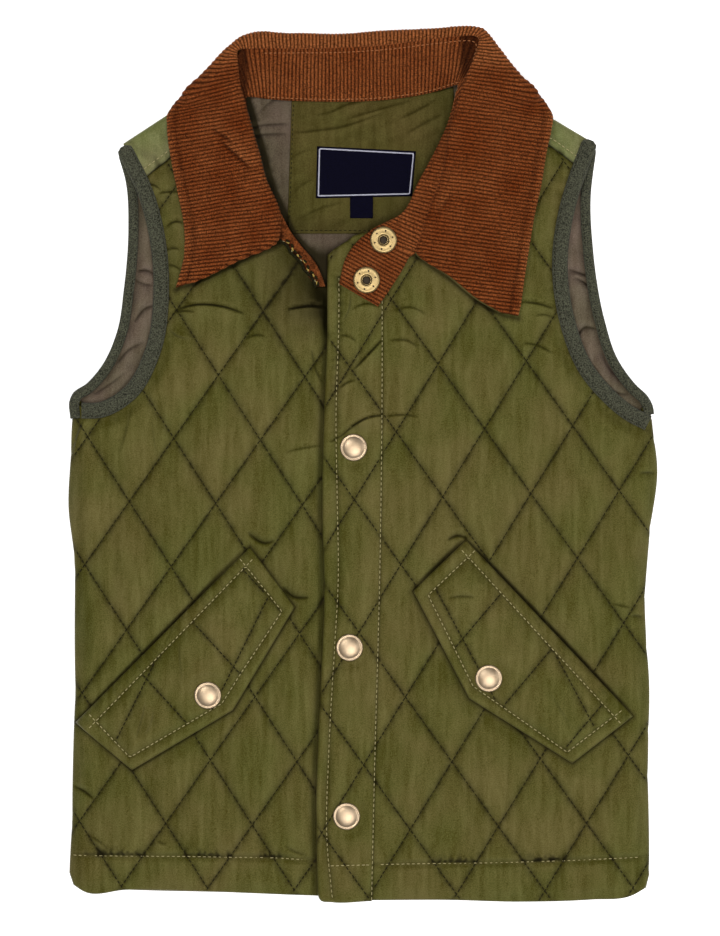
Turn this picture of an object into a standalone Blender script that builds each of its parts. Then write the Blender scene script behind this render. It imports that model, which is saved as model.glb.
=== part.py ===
"""A toddler's quilted vest, laid flat on a table with its front snapped shut.

+X points to the wearer's left, +Y to the collar and +Z up from the table, and
the origin is on the table under the middle of the vest. Left and right in a
name are the wearer's. Sizes and places are in millimetres, and become metres
where a mesh is made.
"""

import math
from collections import namedtuple

import bpy
import numpy as np
from mathutils import Vector
from mathutils.geometry import delaunay_2d_cdt

MM = 0.001
SEAM_GAP = 0.3

# Heights of the layers above the table
BACK_WALL = 2.2
LINING_LOW = BACK_WALL + SEAM_GAP
LINING_WALL = 1.2
LINING_PUFF = 1.2
FACING_WALL = 1.0
LABEL_WALL = 0.8
FRONT_LOW = 5.4
FRONT_WALL = 1.8
FRONT_PUFF = 3.0
PLACKET_LOW = 7.6
PLACKET_WALL = 2.4
PLACKET_PUFF = 0.7
FLAP_GAP = 0.35
FLAP_WALL = 2.0
FLAP_PUFF = 1.2

# The fronts come down to the back at the side seams, and swell a little between them
SIDE_LOW = BACK_WALL + SEAM_GAP
SIDE_DROP = 7.0
SIDE_TUCK = 0.4
LINING_INSET = 8.5
CROWN_RIGHT = 2.0
CROWN_RIGHT_TOP = 60.0
CROWN_RIGHT_FADE = 40.0
CROWN_LEFT = 2.6
CROWN_LEFT_REACH = 90.0

# Lengths over which the quilting's puff dies out, and where the lining is free to puff
SIDE_FADE = 16.0
HEM_FADE = 12.0
NECK_FADE = 14.0
YOKE_FADE = 10.0
BOUND_FADE = 10.0
PLACKET_FADE = 14.0
FLAP_FADE = 11.0
SNAP_FADE = 6.0
LINING_FADE = 12.0
LINING_FREE_X = 70.0
LINING_FREE_Y = 170.0

# The collar presses part of the puff out of the fronts above a height
COLLAR_PRESS = 0.6
COLLAR_PRESS_FROM = 75.0
COLLAR_PRESS_OVER = 40.0

# Armhole bindings: a top leg over the edge and a lip down its outside
BINDING_WALL = 1.2
BINDING_GAP = 0.4
BINDING_WIDTH = 8.6
BINDING_WIDTH_BACK = 5.6
BINDING_BEVEL = 0.6
BOUND_EDGE = BINDING_WALL + SEAM_GAP

# Yokes turn over the shoulder in a small round
YOKE_FOLD = 3.0

# Collar: corduroy with one rib every two millimetres, and where the points lie across a leaf
COLLAR_WALL = 2.2
RIB_PITCH = 2.0
RIB_HEIGHT = 0.45
ROLL_RADIUS = 2.7
ROLLED_SHARES = np.array([0, 0.03, 0.13, 0.45, 0.8, 1])
FLAT_SHARES = np.array([0, 0.15, 0.33, 0.55, 0.8, 1])
FLAT_RISE = 0.6

# Snaps: fifteen-millimetre caps, and open sockets on the collar tab: radius, height
SNAP_RADIUS = 7.3
SNAP_SIDES = 16
SNAP_CLEAR = 9.0
SNAP_CAP = [(0, 2.3), (4.2, 2.0), (6.1, 1.3), (6.6, 1.55), (7.3, 0.9), (7, 0), (0, 0)]
SNAP_SOCKET = [(0, 0.4), (2.7, 0.4), (2.9, 1.2), (3.6, 1.7), (5.8, 1.7), (7.3, 0.8), (7, 0), (0, 0)]

# Steps between points along the edges and inside the panels, and the room they keep
EDGE_STEP = 15.0
BINDING_STEP = 9.0
YOKE_STEP = 14.0
FLAP_STEP = 12.0
CORNER_STEP = 4.0
COARSE_STEP = 30.0
DOUBLED = 1.5
TOP_MARGIN = 2.5
LOW_MARGIN = 6.0
POINT_CLEAR = 4.0

# Quilting: one crossing of the stitch lines, the diamond's width and height, and its lean
QUILT_RIGHT = {"x": -79.5, "y": -21.2, "width": 46.7, "height": 69.3, "lean": 1.2}
QUILT_LEFT = {"x": 43.0, "y": -17.6, "width": 47.7, "height": 71.6, "lean": -2.0}
QUILT_LINING = {"x": 0.0, "y": 10.0, "width": 47.0, "height": 70.0, "lean": 0.0}
QUILT_FLAP_RIGHT = {"x": -83.5, "y": -90.5, "width": 46.7, "height": 69.3, "lean": -5.0}
QUILT_FLAP_LEFT = {"x": 67.0, "y": -86.0, "width": 47.7, "height": 71.6, "lean": 6.0}

# Side seams, from the underarm down to the hem: x, y
SIDE_RIGHT = [(-157.5, 31), (-158.5, 2), (-159.3, -24), (-157, -46), (-156, -100), (-157, -165),
              (-158.8, -221)]
SIDE_LEFT = [(156.5, 24), (159.3, -3), (155.5, -36), (152.8, -73), (155, -122), (154.4, -165),
             (155.2, -222)]
UNDERARM_RIGHT = (-156.3, 34)
UNDERARM_LEFT = (155.3, 33.5)

# Hems of the two fronts and of the back, from the wearer's right to left: x, y
HEM_RIGHT = [(-156.5, -227.5), (-150, -231.3), (-128, -230), (-80, -231), (-32, -233), (-1, -234)]
HEM_LEFT = [(6, -235.5), (45, -235.4), (85, -236.5), (123, -235.4), (145, -233.3), (153, -229)]
HEM_BACK = [(-155.5, -226), (-149, -230), (-80, -229.5), (0, -233), (85, -235), (145, -232),
            (152, -227.5)]

# Armhole edges, from the shoulder down to the side seam: x, y
ARMHOLE_FRONT_RIGHT = [(-133.4, 169.6), (-121, 143.5), (-114.5, 115.5), (-113.4, 92), (-117.7, 62),
                       (-129.5, 41), (-144, 32.6), (-156.6, 33)]
ARMHOLE_FRONT_LEFT = [(127, 173.3), (121.5, 159), (115, 139), (110.7, 109.5), (114, 80.5),
                      (125.3, 52), (135.5, 40), (146, 31.2), (156, 26)]
ARMHOLE_BACK_RIGHT = [(-132.6, 166), (-128.5, 153), (-127, 127), (-129.5, 94), (-133, 72),
                      (-143.5, 51), (-149, 44)]
ARMHOLE_BACK_LEFT = [(126, 166), (123.2, 143), (124.5, 116), (126.5, 99), (130.7, 78),
                     (138.2, 56), (147, 44)]

# Shoulder yokes, from the armhole to the neck
YokeRow = namedtuple("YokeRow", "fold_x fold_y seam_x seam_y")
YOKE_RIGHT = [
    YokeRow(-129.6, 173.2, -121.6, 151.6),
    YokeRow(-105.5, 189, -103.5, 165.5),
    YokeRow(-88, 197.5, -88, 176),
    YokeRow(-71.5, 205.7, -72.5, 186.7),
]
YOKE_LEFT = [
    YokeRow(124.6, 173.6, 119.2, 158.2),
    YokeRow(104.2, 185.8, 102.6, 170.6),
    YokeRow(80, 197.5, 78, 182),
    YokeRow(56.5, 209, 52, 193),
]

# Neck edges of the fronts and of the back: x, y
NECK_RIGHT = [(-72.5, 186.7), (-61.5, 171), (-55.5, 152), (-51.5, 133), (-41, 113), (-24, 90)]
NECK_LEFT = [(52, 193), (48.5, 181), (42, 169), (32, 151), (23, 134.5), (11.2, 127.5)]
NECK_BACK = [(-69.8, 203.2), (-64.5, 199.2), (-24.3, 197.4), (10.8, 198.2), (40, 203), (53.5, 207.2)]

# Placket: its free edge and its seam, from the neck to the hem, and its slanted top: x, y
PLACKET_EDGE = [(-19.4, 99), (-19.4, 70), (-21, 30), (-22.1, -25), (-21, -72), (-22.7, -114),
                (-25.4, -188), (-24.6, -232)]
PLACKET_SEAM = [(10.6, 127.5), (10.5, 26), (9.2, -66), (6.8, -154), (4.9, -235.5)]
PLACKET_TOP = [(10.6, 127.5), (-3, 121), (-14.5, 113.5), (-18.6, 106)]
PLACKET_BOTTOM = [(-24.6, -232), (-23, -235.6), (-17, -236.6), (4.6, -236)]
PLACKET_STITCH_INSET = 6.0

# What the placket covers of the right front: its hidden edge, and where the front is pressed flat
HIDDEN_EDGE_INSET = 4.0
HIDDEN_EDGE_TOP = 86.0
HIDDEN_EDGE_END = -226.0
PLACKET_PRESS = 3.0

# Facing, label and size tab inside the back neck: x, y
FACING = [(-41, 124.5), (50, 124.5), (49, 204), (40, 201.5), (10.8, 197.4), (-38.5, 197)]
LABEL = [(-25.4, 143.6), (26.5, 144.7), (28.6, 169), (-24.8, 171.7)]
SIZE_TAB = [(-7, 132.8), (5.4, 132.8), (5.4, 143.4), (-7, 143.2)]

# Pocket flaps: corners, round from the outer end of the pocket mouth: x, y
FLAP_RIGHT = [(-152.5, -139.3), (-124.7, -165.2), (-70.2, -132.8), (-36.9, -77.2), (-61, -44.8)]
FLAP_LEFT = [(145.8, -136.1), (55.6, -41), (27, -68.6), (57.2, -126.4), (112.9, -161.5)]

# Snap centres: x, y
SNAPS_PLACKET = [(-5.1, 8.9), (-7.3, -99.1), (-8.9, -190.1)]
SNAP_FLAP_RIGHT = (-83.7, -124.7)
SNAP_FLAP_LEFT = (67.8, -115.6)
SNAPS_COLLAR = [(11.1, 120.7), (1.9, 99.1)]

# Collar stand, from its hidden right end round the neck to the tab
StandRow = namedtuple("StandRow", "neck_x neck_y neck_z top_x top_y top_z")
STAND = [
    StandRow(-24.5, 91.5, 9.3, -21.4, 93.7, 12),
    StandRow(-42, 114.5, 9.3, -38.8, 116.9, 11.8),
    StandRow(-48, 124.2, 9.1, -45, 125.6, 11.2),
    StandRow(-50.8, 134, 9, -50, 134.5, 11.3),
    StandRow(-53.8, 152.5, 9, -53.3, 152.8, 11.8),
    StandRow(-59.5, 172, 9, -59, 172.3, 11.8),
    StandRow(-63.5, 184, 9, -63, 184.6, 12),
    StandRow(-66.5, 193, 8.8, -66, 195, 12),
    StandRow(-65, 198.5, 8.2, -66.5, 207, 11.2),
    StandRow(-59.5, 198.8, 7.4, -62.5, 219, 8.6),
    StandRow(-50, 197, 6.6, -51, 222.4, 6.3),
    StandRow(-24.3, 195.8, 6.6, -24, 222.8, 6.2),
    StandRow(10.8, 196.6, 6.6, 10.5, 225, 6.2),
    StandRow(40, 201.4, 6.8, 43, 228.6, 6.8),
    StandRow(50, 204.5, 8.6, 55, 228.5, 9.2),
    StandRow(51.5, 202.5, 10.4, 57.5, 219, 13.5),
    StandRow(50.5, 197, 11, 54, 206, 16.2),
    StandRow(48.5, 188.5, 11.2, 49, 191, 16.8),
    StandRow(45.9, 181, 11.4, 46.2, 182, 16.6),
    StandRow(40, 170, 12, 43, 170, 16),
    StandRow(29.7, 151.7, 12.4, 38.5, 151, 15),
    StandRow(21.1, 135.5, 12.4, 32, 131.5, 13.6),
    StandRow(5.4, 126.9, 12.5, 26.5, 115.5, 12.5),
    StandRow(-3.2, 119.9, 12.5, 22, 106, 12.5),
    StandRow(-9.2, 111.2, 12.5, 16.2, 96.7, 12.5),
    StandRow(-13, 97.2, 12.5, 8.1, 84.8, 12.5),
]

# Collar fall, from the tip of the right leaf round the neck to the tip of the left leaf: the seam
# on the stand, the outer edge or fold, the rise of the roll, the length turned under the fold, and
# which point across it is the last on top
FallRow = namedtuple("FallRow", "seam_x seam_y seam_z edge_x edge_y edge_z rise tail last_on_top")
FALL = [
    FallRow(-90, 98.6, 11.3, -101, 94.6, 11.2, 0, 0, 5),
    FallRow(-84.8, 101, 11.4, -99.6, 100, 11.2, 0.2, 0, 5),
    FallRow(-66.4, 110.7, 12.2, -97.6, 108, 11.1, 0.6, 0, 5),
    FallRow(-47, 121, 13.4, -96.5, 113.5, 11, 2.2, 0, 5),
    FallRow(-49.3, 134.5, 13.4, -96.3, 126.5, 10.9, 3.2, 0, 5),
    FallRow(-52, 152.8, 13.2, -99.7, 144.5, 10.8, 3.4, 0, 5),
    FallRow(-58, 172.3, 13.2, -103.5, 164, 10.6, 3.4, 0, 5),
    FallRow(-62.8, 189, 13.6, -105.7, 182, 10.4, 3, 0, 5),
    FallRow(-65.4, 199, 14, -104.6, 190.5, 9.8, 2.2, 0, 5),
    FallRow(-66.5, 207, 14.2, -97.5, 199, 3, 1.4, 2, 4),
    FallRow(-66.8, 212.5, 13.6, -85.3, 211.7, 0, 1, 8, 3),
    FallRow(-65.5, 218.5, 12, -75.1, 223.6, 0, 0.8, 10, 2),
    FallRow(-61, 224, 9.5, -66.4, 231.1, 0, 0.6, 14, 2),
    FallRow(-54, 224.6, 7, -56, 234.2, 0, 0.6, 20, 2),
    FallRow(-37, 224.2, 6.2, -37.3, 233.3, 0, 0.6, 33, 2),
    FallRow(-12.4, 224.6, 6.2, -12.4, 232.9, 0, 0.6, 33.5, 2),
    FallRow(11.9, 226.1, 6.2, 11.9, 234.7, 0, 0.6, 34, 2),
    FallRow(41, 229.9, 6.8, 41.6, 236, 0, 0.6, 26, 2),
    FallRow(53.5, 231.4, 9.8, 56.5, 236.6, 0, 0.6, 18, 2),
    FallRow(59.5, 227.5, 12.5, 65.9, 234.2, 0, 0.6, 12, 2),
    FallRow(59.8, 220, 15.2, 74, 223.6, 0, 0.8, 10, 2),
    FallRow(57, 212, 17.4, 85.3, 210, 0, 1, 8, 3),
    FallRow(54, 203.5, 18.2, 97.2, 197.6, 3, 1, 2, 4),
    FallRow(51.5, 197, 18.4, 101.9, 189.6, 9.6, 0.8, 0, 5),
    FallRow(48.5, 188, 18.4, 101.8, 181, 10.2, 0.6, 0, 5),
    FallRow(46, 177.7, 18.2, 99.4, 170, 10.6, 0.6, 0, 5),
    FallRow(43, 158.8, 16.8, 96.3, 151, 11, 0.6, 0, 5),
    FallRow(37, 141.5, 15.2, 92.4, 133, 11.6, 0.6, 0, 5),
    FallRow(31, 124.2, 13.8, 89.6, 116, 12.2, 0.6, 0, 5),
    FallRow(28.4, 114.5, 13.2, 88, 106, 12.4, 0.6, 0, 5),
    FallRow(47, 101, 12.8, 86.7, 97.5, 12.5, 0.3, 0, 5),
    FallRow(63.2, 88, 12.6, 85.1, 87.5, 12.5, 0.1, 0, 5),
    FallRow(74.5, 81.5, 12.5, 83.7, 79.4, 12.5, 0, 0, 5),
]

Look = namedtuple("Look", "colour roughness metallic")
LOOKS = {
    "green_nylon": Look("#5a562f", 0.45, 0.0),
    "taupe_lining": Look("#5c4f45", 0.6, 0.0),
    "navy_satin": Look("#0b0a26", 0.45, 0.0),
    "corduroy": Look("#66361a", 0.85, 0.0),
    "felt_tape": Look("#474839", 0.9, 0.0),
    "brass": Look("#ad905e", 0.35, 1.0),
}


def ramp(value):
    """Zero below 0, one above 1 and smooth between."""
    value = np.clip(value, 0, 1)
    return value * value * (3 - 2 * value)


def smooth_curve(rows, step, multiple=1):
    """Rows about one step apart on a smooth curve through the given rows."""
    rows = np.array(rows, float)
    flat = rows.reshape(len(rows), -1)
    centres = rows.reshape(len(rows), -1, rows.shape[-1]).mean(axis=1)
    lengths = np.linalg.norm(np.diff(centres, axis=0), axis=1)
    marks = np.concatenate([[0], np.cumsum(lengths)])
    slopes = np.gradient(flat, marks, axis=0)
    count = multiple * max(1, round(marks[-1] / (step * multiple)))
    places = np.linspace(0, marks[-1], count + 1)
    index = np.clip(np.searchsorted(marks, places, "right") - 1, 0, len(rows) - 2)
    span = lengths[index][:, None]
    t = (places - marks[index])[:, None] / span
    curve = (
        (2 * t**3 - 3 * t**2 + 1) * flat[index]
        + (t**3 - 2 * t**2 + t) * span * slopes[index]
        + (3 * t**2 - 2 * t**3) * flat[index + 1]
        + (t**3 - t**2) * span * slopes[index + 1]
    )
    return curve.reshape((-1,) + rows.shape[1:])


def straight(corners, step):
    """Points about one step apart on straight lines between the corners."""
    corners = np.array(corners, float)
    points = []
    for start, end in zip(corners[:-1], corners[1:]):
        count = max(1, round(np.linalg.norm(end - start) / step))
        points.extend(start + (end - start) * i / count for i in range(count))
    points.append(corners[-1])
    return np.array(points)


def side_normals(line):
    """Unit directions to the left of a line, at each of its points."""
    along = np.gradient(line, axis=0)
    along /= np.linalg.norm(along, axis=1)[:, None]
    return np.column_stack([-along[:, 1], along[:, 0]])


def shifted(line, distance):
    """A line moved sideways, to the left of its own direction."""
    return line + distance * side_normals(line)


def join(*lines):
    """One closed outline from lines that follow each other, without doubled points."""
    points = []
    for point in np.vstack(lines):
        if not points or np.linalg.norm(point - points[-1]) > DOUBLED:
            points.append(point)
    if np.linalg.norm(points[0] - points[-1]) < DOUBLED:
        points.pop()
    points = np.array(points)
    following = np.roll(points, -1, axis=0)
    area = np.sum(points[:, 0] * following[:, 1] - points[:, 1] * following[:, 0])
    return points if area > 0 else points[::-1]


def distance_to(line, x, y):
    """How far places lie from a line of points."""
    places = np.stack([np.asarray(x, float), np.asarray(y, float)], axis=-1)[..., None, :]
    line = np.asarray(line, float)
    along = line[1:] - line[:-1]
    share = ((places - line[:-1]) * along).sum(-1) / (along**2).sum(-1)
    nearest = line[:-1] + np.clip(share, 0, 1)[..., None] * along
    return np.linalg.norm(places - nearest, axis=-1).min(-1)


def inside(points, outline, margin):
    """The points that lie within an outline, at least a margin from its edge."""
    x, y = points[:, :1], points[:, 1:]
    start, end = outline, np.roll(outline, -1, axis=0)
    spans = (start[:, 1] > y) != (end[:, 1] > y)
    rise = np.where(end[:, 1] == start[:, 1], 1, end[:, 1] - start[:, 1])
    crossing = start[:, 0] + (y - start[:, 1]) * (end[:, 0] - start[:, 0]) / rise
    within = (spans & (x < crossing)).sum(axis=1) % 2 == 1
    closed = np.vstack([outline, outline[:1]])
    return points[within & (distance_to(closed, points[:, 0], points[:, 1]) > margin)]


def lattice(quilt, parts, reach=320):
    """Points on and between a quilt's stitch lines, a number of parts to a diamond."""
    count = int(2 * reach / quilt["width"]) * parts
    steps = np.arange(-count, count + 1) / parts
    one, other = (grid.ravel() for grid in np.meshgrid(steps, steps))
    across = (one + other) / 2 * quilt["width"]
    upward = (one - other) / 2 * quilt["height"]
    lean = math.radians(quilt["lean"])
    x = quilt["x"] + across * math.cos(lean) + upward * math.sin(lean)
    y = quilt["y"] - across * math.sin(lean) + upward * math.cos(lean)
    return np.column_stack([x, y])


def pillow(quilt, x, y):
    """Puff of the quilting: zero on the stitch lines, one in the middle of a diamond."""
    lean = math.radians(quilt["lean"])
    across = ((x - quilt["x"]) * math.cos(lean) - (y - quilt["y"]) * math.sin(lean)) / quilt["width"]
    upward = ((x - quilt["x"]) * math.sin(lean) + (y - quilt["y"]) * math.cos(lean)) / quilt["height"]
    one = (across + upward) % 1
    other = (across - upward) % 1
    return (16 * one * (1 - one) * other * (1 - other)) ** 0.6


def clear_of(points, others, distance):
    """The points that lie at least a distance from every other point."""
    gaps = np.linalg.norm(points[:, None] - others[None], axis=2)
    return points[gaps.min(axis=1) > distance]


def linear(hex_colour):
    """Scene-linear colour of an sRGB hex value."""
    values = [int(hex_colour[i:i + 2], 16) / 255 for i in (1, 3, 5)]
    return [v / 12.92 if v <= 0.04045 else ((v + 0.055) / 1.055) ** 2.4 for v in values] + [1]


def look(name):
    """Material for a named finish."""
    material = bpy.data.materials.get(name)
    if material is None:
        finish = LOOKS[name]
        material = bpy.data.materials.new(name)
        material.use_nodes = True
        shader = material.node_tree.nodes["Principled BSDF"]
        shader.inputs["Base Color"].default_value = linear(finish.colour)
        shader.inputs["Roughness"].default_value = finish.roughness
        shader.inputs["Metallic"].default_value = finish.metallic
    return material


def make_object(name, points, faces, finish):
    """Object from points in millimetres, with its faces turned outwards."""
    points = np.array(points, float)
    volume = 0.0
    for face in faces:
        for i in range(1, len(face) - 1):
            volume += np.dot(points[face[0]], np.cross(points[face[i]], points[face[i + 1]]))
    if volume < 0:
        faces = [face[::-1] for face in faces]
    mesh = bpy.data.meshes.new(name)
    mesh.from_pydata((points * MM).tolist(), [], [list(map(int, face)) for face in faces])
    mesh.materials.append(look(finish))
    mesh.shade_smooth()
    mesh.set_sharp_from_angle(angle=math.radians(50))
    thing = bpy.data.objects.new(name, mesh)
    bpy.context.scene.collection.objects.link(thing)
    return thing


def triangles(outline, points):
    """Triangles that fill an outline through its own points and the points inside it."""
    places = [Vector(place) for place in np.vstack([outline, points])]
    filled = delaunay_2d_cdt(places, [], [list(range(len(outline)))], 1, 1e-5)
    return np.array([list(place) for place in filled[0]]), filled[2]


def panel(name, outline, low, top, low_points, top_points, finish):
    """Cloth panel with an outline, between a low and a top height."""
    upper, upper_faces = triangles(outline, inside(top_points, outline, TOP_MARGIN))
    lower, lower_faces = triangles(outline, inside(low_points, outline, LOW_MARGIN))
    points = np.vstack([
        np.column_stack([upper, top(upper[:, 0], upper[:, 1])]),
        np.column_stack([lower, low(lower[:, 0], lower[:, 1])]),
    ])
    start = len(upper)
    faces = [list(face) for face in upper_faces]
    faces += [[start + corner for corner in face][::-1] for face in lower_faces]
    for i in range(len(outline)):
        j = (i + 1) % len(outline)
        faces.append([start + i, start + j, j, i])
    return make_object(name, points, faces, finish)


def loft(name, rings, finish):
    """Solid through closed rings of points, with flat ends."""
    rings = np.array(rings)
    count, sides = rings.shape[:2]
    faces = [list(range(sides))[::-1], [(count - 1) * sides + k for k in range(sides)]]
    for i in range(count - 1):
        for k in range(sides):
            m = (k + 1) % sides
            faces.append([i * sides + k, i * sides + m, (i + 1) * sides + m, (i + 1) * sides + k])
    return make_object(name, rings.reshape(-1, 3), faces, finish)


def turned(name, profile, place, finish):
    """Round piece from a profile of radius and height that starts and ends on its axis."""
    rings = profile[1:-1]
    points = [(0, 0, profile[0][1])]
    for radius, height in rings:
        for k in range(SNAP_SIDES):
            angle = 2 * math.pi * k / SNAP_SIDES
            points.append((radius * math.cos(angle), radius * math.sin(angle), height))
    points.append((0, 0, profile[-1][1]))
    last = len(points) - 1
    faces = []
    for k in range(SNAP_SIDES):
        m = (k + 1) % SNAP_SIDES
        faces.append([0, 1 + k, 1 + m])
        for i in range(len(rings) - 1):
            ring, below = 1 + i * SNAP_SIDES, 1 + (i + 1) * SNAP_SIDES
            faces.append([ring + k, below + k, below + m, ring + m])
        base = 1 + (len(rings) - 1) * SNAP_SIDES
        faces.append([base + m, base + k, last])
    piece = make_object(name, points, faces, finish)
    piece.location = Vector(place) * MM
    return piece


def sheet(name, grid, wall, ribs, every, finish):
    """Curved cloth about a grid of points, ribbed on its outer face over a coarse plain inside."""
    along = np.gradient(grid, axis=0)
    across = np.gradient(grid, axis=1)
    normals = np.cross(along, across)
    normals /= np.linalg.norm(normals, axis=2)[:, :, None]
    outer = grid + normals * (wall / 2 + ribs)[:, None, None]
    inner = (grid - normals * wall / 2)[::every]
    rows, columns = outer.shape[:2]
    start = rows * columns
    faces = []
    for i in range(rows - 1):
        for j in range(columns - 1):
            a, b = i * columns + j, (i + 1) * columns + j
            faces.append([a, b, b + 1, a + 1])
    for i in range(len(inner) - 1):
        a, b = start + i * columns, start + (i + 1) * columns
        for j in range(columns - 1):
            faces.append([a + j, a + j + 1, b + j + 1, b + j])
        for j, turn in ((0, 1), (columns - 1, -1)):
            edge = [(i * every + k) * columns + j for k in range(every + 1)]
            middle = every // 2
            fan = [[a + j, edge[k + 1], edge[k]] for k in range(middle)]
            fan += [[b + j, edge[k + 1], edge[k]] for k in range(middle, every)]
            fan.append([a + j, b + j, edge[middle]])
            faces.extend(face[::turn] for face in fan)
    last = (rows - 1) * columns
    last_inner = start + (len(inner) - 1) * columns
    for j in range(columns - 1):
        faces.append([j, j + 1, start + j + 1, start + j])
        faces.append([last + j + 1, last + j, last_inner + j, last_inner + j + 1])
    return make_object(name, np.vstack([outer.reshape(-1, 3), inner.reshape(-1, 3)]), faces, finish)


def side_distance(side, x, y):
    """How far places lie inside a side seam."""
    order = np.argsort(side[:, 1])
    return np.abs(x - np.interp(y, side[order, 1], side[order, 0]))


def side_height(distance):
    """Underside of a front, which comes down to the back at the side seam."""
    return SIDE_LOW + (FRONT_LOW - SIDE_LOW) * np.clip(distance / SIDE_DROP, 0, 1)


def coarse(outline, spacing):
    """Sparse points in rows over an outline's box."""
    low, high = outline.min(axis=0), outline.max(axis=0)
    xs, ys = np.meshgrid(np.arange(low[0], high[0], spacing), np.arange(low[1], high[1], spacing))
    return np.column_stack([xs.ravel(), ys.ravel()])


side_right = smooth_curve(SIDE_RIGHT, EDGE_STEP)
side_left = smooth_curve(SIDE_LEFT, EDGE_STEP)
arm_right = smooth_curve(ARMHOLE_FRONT_RIGHT, BINDING_STEP)
arm_left = smooth_curve(ARMHOLE_FRONT_LEFT, BINDING_STEP)
back_arm_right = smooth_curve(ARMHOLE_BACK_RIGHT, BINDING_STEP)
back_arm_left = smooth_curve(ARMHOLE_BACK_LEFT, BINDING_STEP)
placket_edge = smooth_curve(PLACKET_EDGE, EDGE_STEP)
placket_seam = smooth_curve(PLACKET_SEAM, EDGE_STEP)
neck_right = smooth_curve(NECK_RIGHT, EDGE_STEP)
neck_left = smooth_curve(NECK_LEFT, EDGE_STEP)
yoke_seam_right = np.array(YOKE_RIGHT)[:, 2:]
yoke_seam_left = np.array(YOKE_LEFT)[:, 2:]


def placket_edge_x(y):
    """Place of the placket's free edge at a height on the front."""
    return np.interp(-np.asarray(y), -placket_edge[:, 1], placket_edge[:, 0])


def crown_right(x, y):
    """Swell of the right front between its side seam and the placket, below the collar."""
    reach = side_distance(side_right, x, y)
    rest = np.clip(placket_edge_x(y) - PLACKET_PRESS - x, 0, None)
    below = 1 - ramp((y - CROWN_RIGHT_TOP) / CROWN_RIGHT_FADE)
    return CROWN_RIGHT * np.sin(math.pi * reach / (reach + rest + MM)) * below


def crown_left(x, y):
    """Rise of the left front towards the placket."""
    seam_x = np.interp(-y, -placket_seam[:, 1], placket_seam[:, 0])
    return CROWN_LEFT * np.cos(math.pi / 2 * np.clip((x - seam_x) / CROWN_LEFT_REACH, 0, 1))


def front_right_low(x, y):
    """Underside of the right front."""
    return side_height(side_distance(side_right, x, y)) + crown_right(x, y)


def front_left_low(x, y):
    """Underside of the left front."""
    return side_height(side_distance(side_left, x, y)) + crown_left(x, y)


def front_puff(quilt, x, y, side, armhole, hem, neck, yoke_seam, placket_gap):
    """Puff of a quilted front, which dies out at its seams and is pressed by the collar."""
    fade = ramp(side_distance(side, x, y) / SIDE_FADE)
    fade = fade * ramp((distance_to(armhole, x, y) - BINDING_WIDTH - BINDING_GAP) / BOUND_FADE)
    fade = fade * ramp(distance_to(hem, x, y) / HEM_FADE)
    fade = fade * ramp(distance_to(neck, x, y) / NECK_FADE)
    fade = fade * ramp(distance_to(yoke_seam, x, y) / YOKE_FADE)
    fade = fade * ramp(placket_gap / PLACKET_FADE)
    pressed = 1 - COLLAR_PRESS * ramp((y - COLLAR_PRESS_FROM) / COLLAR_PRESS_OVER)
    return FRONT_PUFF * pressed * fade * pillow(quilt, x, y)


def front_right_top(x, y):
    """Quilted top of the right front."""
    gap = placket_edge_x(y) - PLACKET_PRESS - x
    puff = front_puff(QUILT_RIGHT, x, y, side_right, arm_right, HEM_RIGHT, neck_right, yoke_seam_right, gap)
    return front_right_low(x, y) + FRONT_WALL + puff


def front_left_top(x, y):
    """Quilted top of the left front."""
    gap = distance_to(placket_seam, x, y)
    puff = front_puff(QUILT_LEFT, x, y, side_left, arm_left, HEM_LEFT, neck_left, yoke_seam_left, gap)
    return front_left_low(x, y) + FRONT_WALL + puff


def lining_top(x, y):
    """Top of the back lining, which puffs only near the armholes, where it is free."""
    fade = ramp((np.abs(x) - LINING_FREE_X) / LINING_FADE) * ramp((LINING_FREE_Y - y) / LINING_FADE)
    for armhole in (back_arm_right, back_arm_left):
        fade = fade * ramp((distance_to(armhole, x, y) - BINDING_WIDTH_BACK) / LINING_FADE)
    for side in (side_right, side_left):
        fade = fade * ramp((side_distance(side, x, y) - LINING_INSET) / LINING_FADE)
    return LINING_LOW + LINING_WALL + LINING_PUFF * fade * pillow(QUILT_LINING, x, y)


def placket_top(x, y):
    """Top of the placket, pressed flat along its edges and round its snaps."""
    fade = ramp((distance_to(placket_edge, x, y) - PLACKET_STITCH_INSET) / SNAP_FADE)
    fade = fade * ramp(distance_to(placket_seam, x, y) / PLACKET_STITCH_INSET)
    for snap_x, snap_y in SNAPS_PLACKET:
        fade = fade * ramp((np.hypot(x - snap_x, y - snap_y) - SNAP_CLEAR) / SNAP_FADE)
    return PLACKET_LOW + PLACKET_WALL + PLACKET_PUFF * fade * pillow(QUILT_LEFT, x, y)


def ring_round(snap):
    """Points that keep a panel flat under a snap."""
    angles = np.arange(8) * math.pi / 4
    ring = np.column_stack([np.cos(angles), np.sin(angles)]) * SNAP_CLEAR + snap
    return np.vstack([[snap], ring])


def level(height):
    """Height function of a flat face."""
    return lambda x, y: np.full(np.shape(x), float(height))


def flat_panel(name, outline, low, wall, finish):
    """Panel with two flat faces."""
    no_points = np.empty((0, 2))
    panel(name, outline, level(low), level(low + wall), no_points, no_points, finish)


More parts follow.
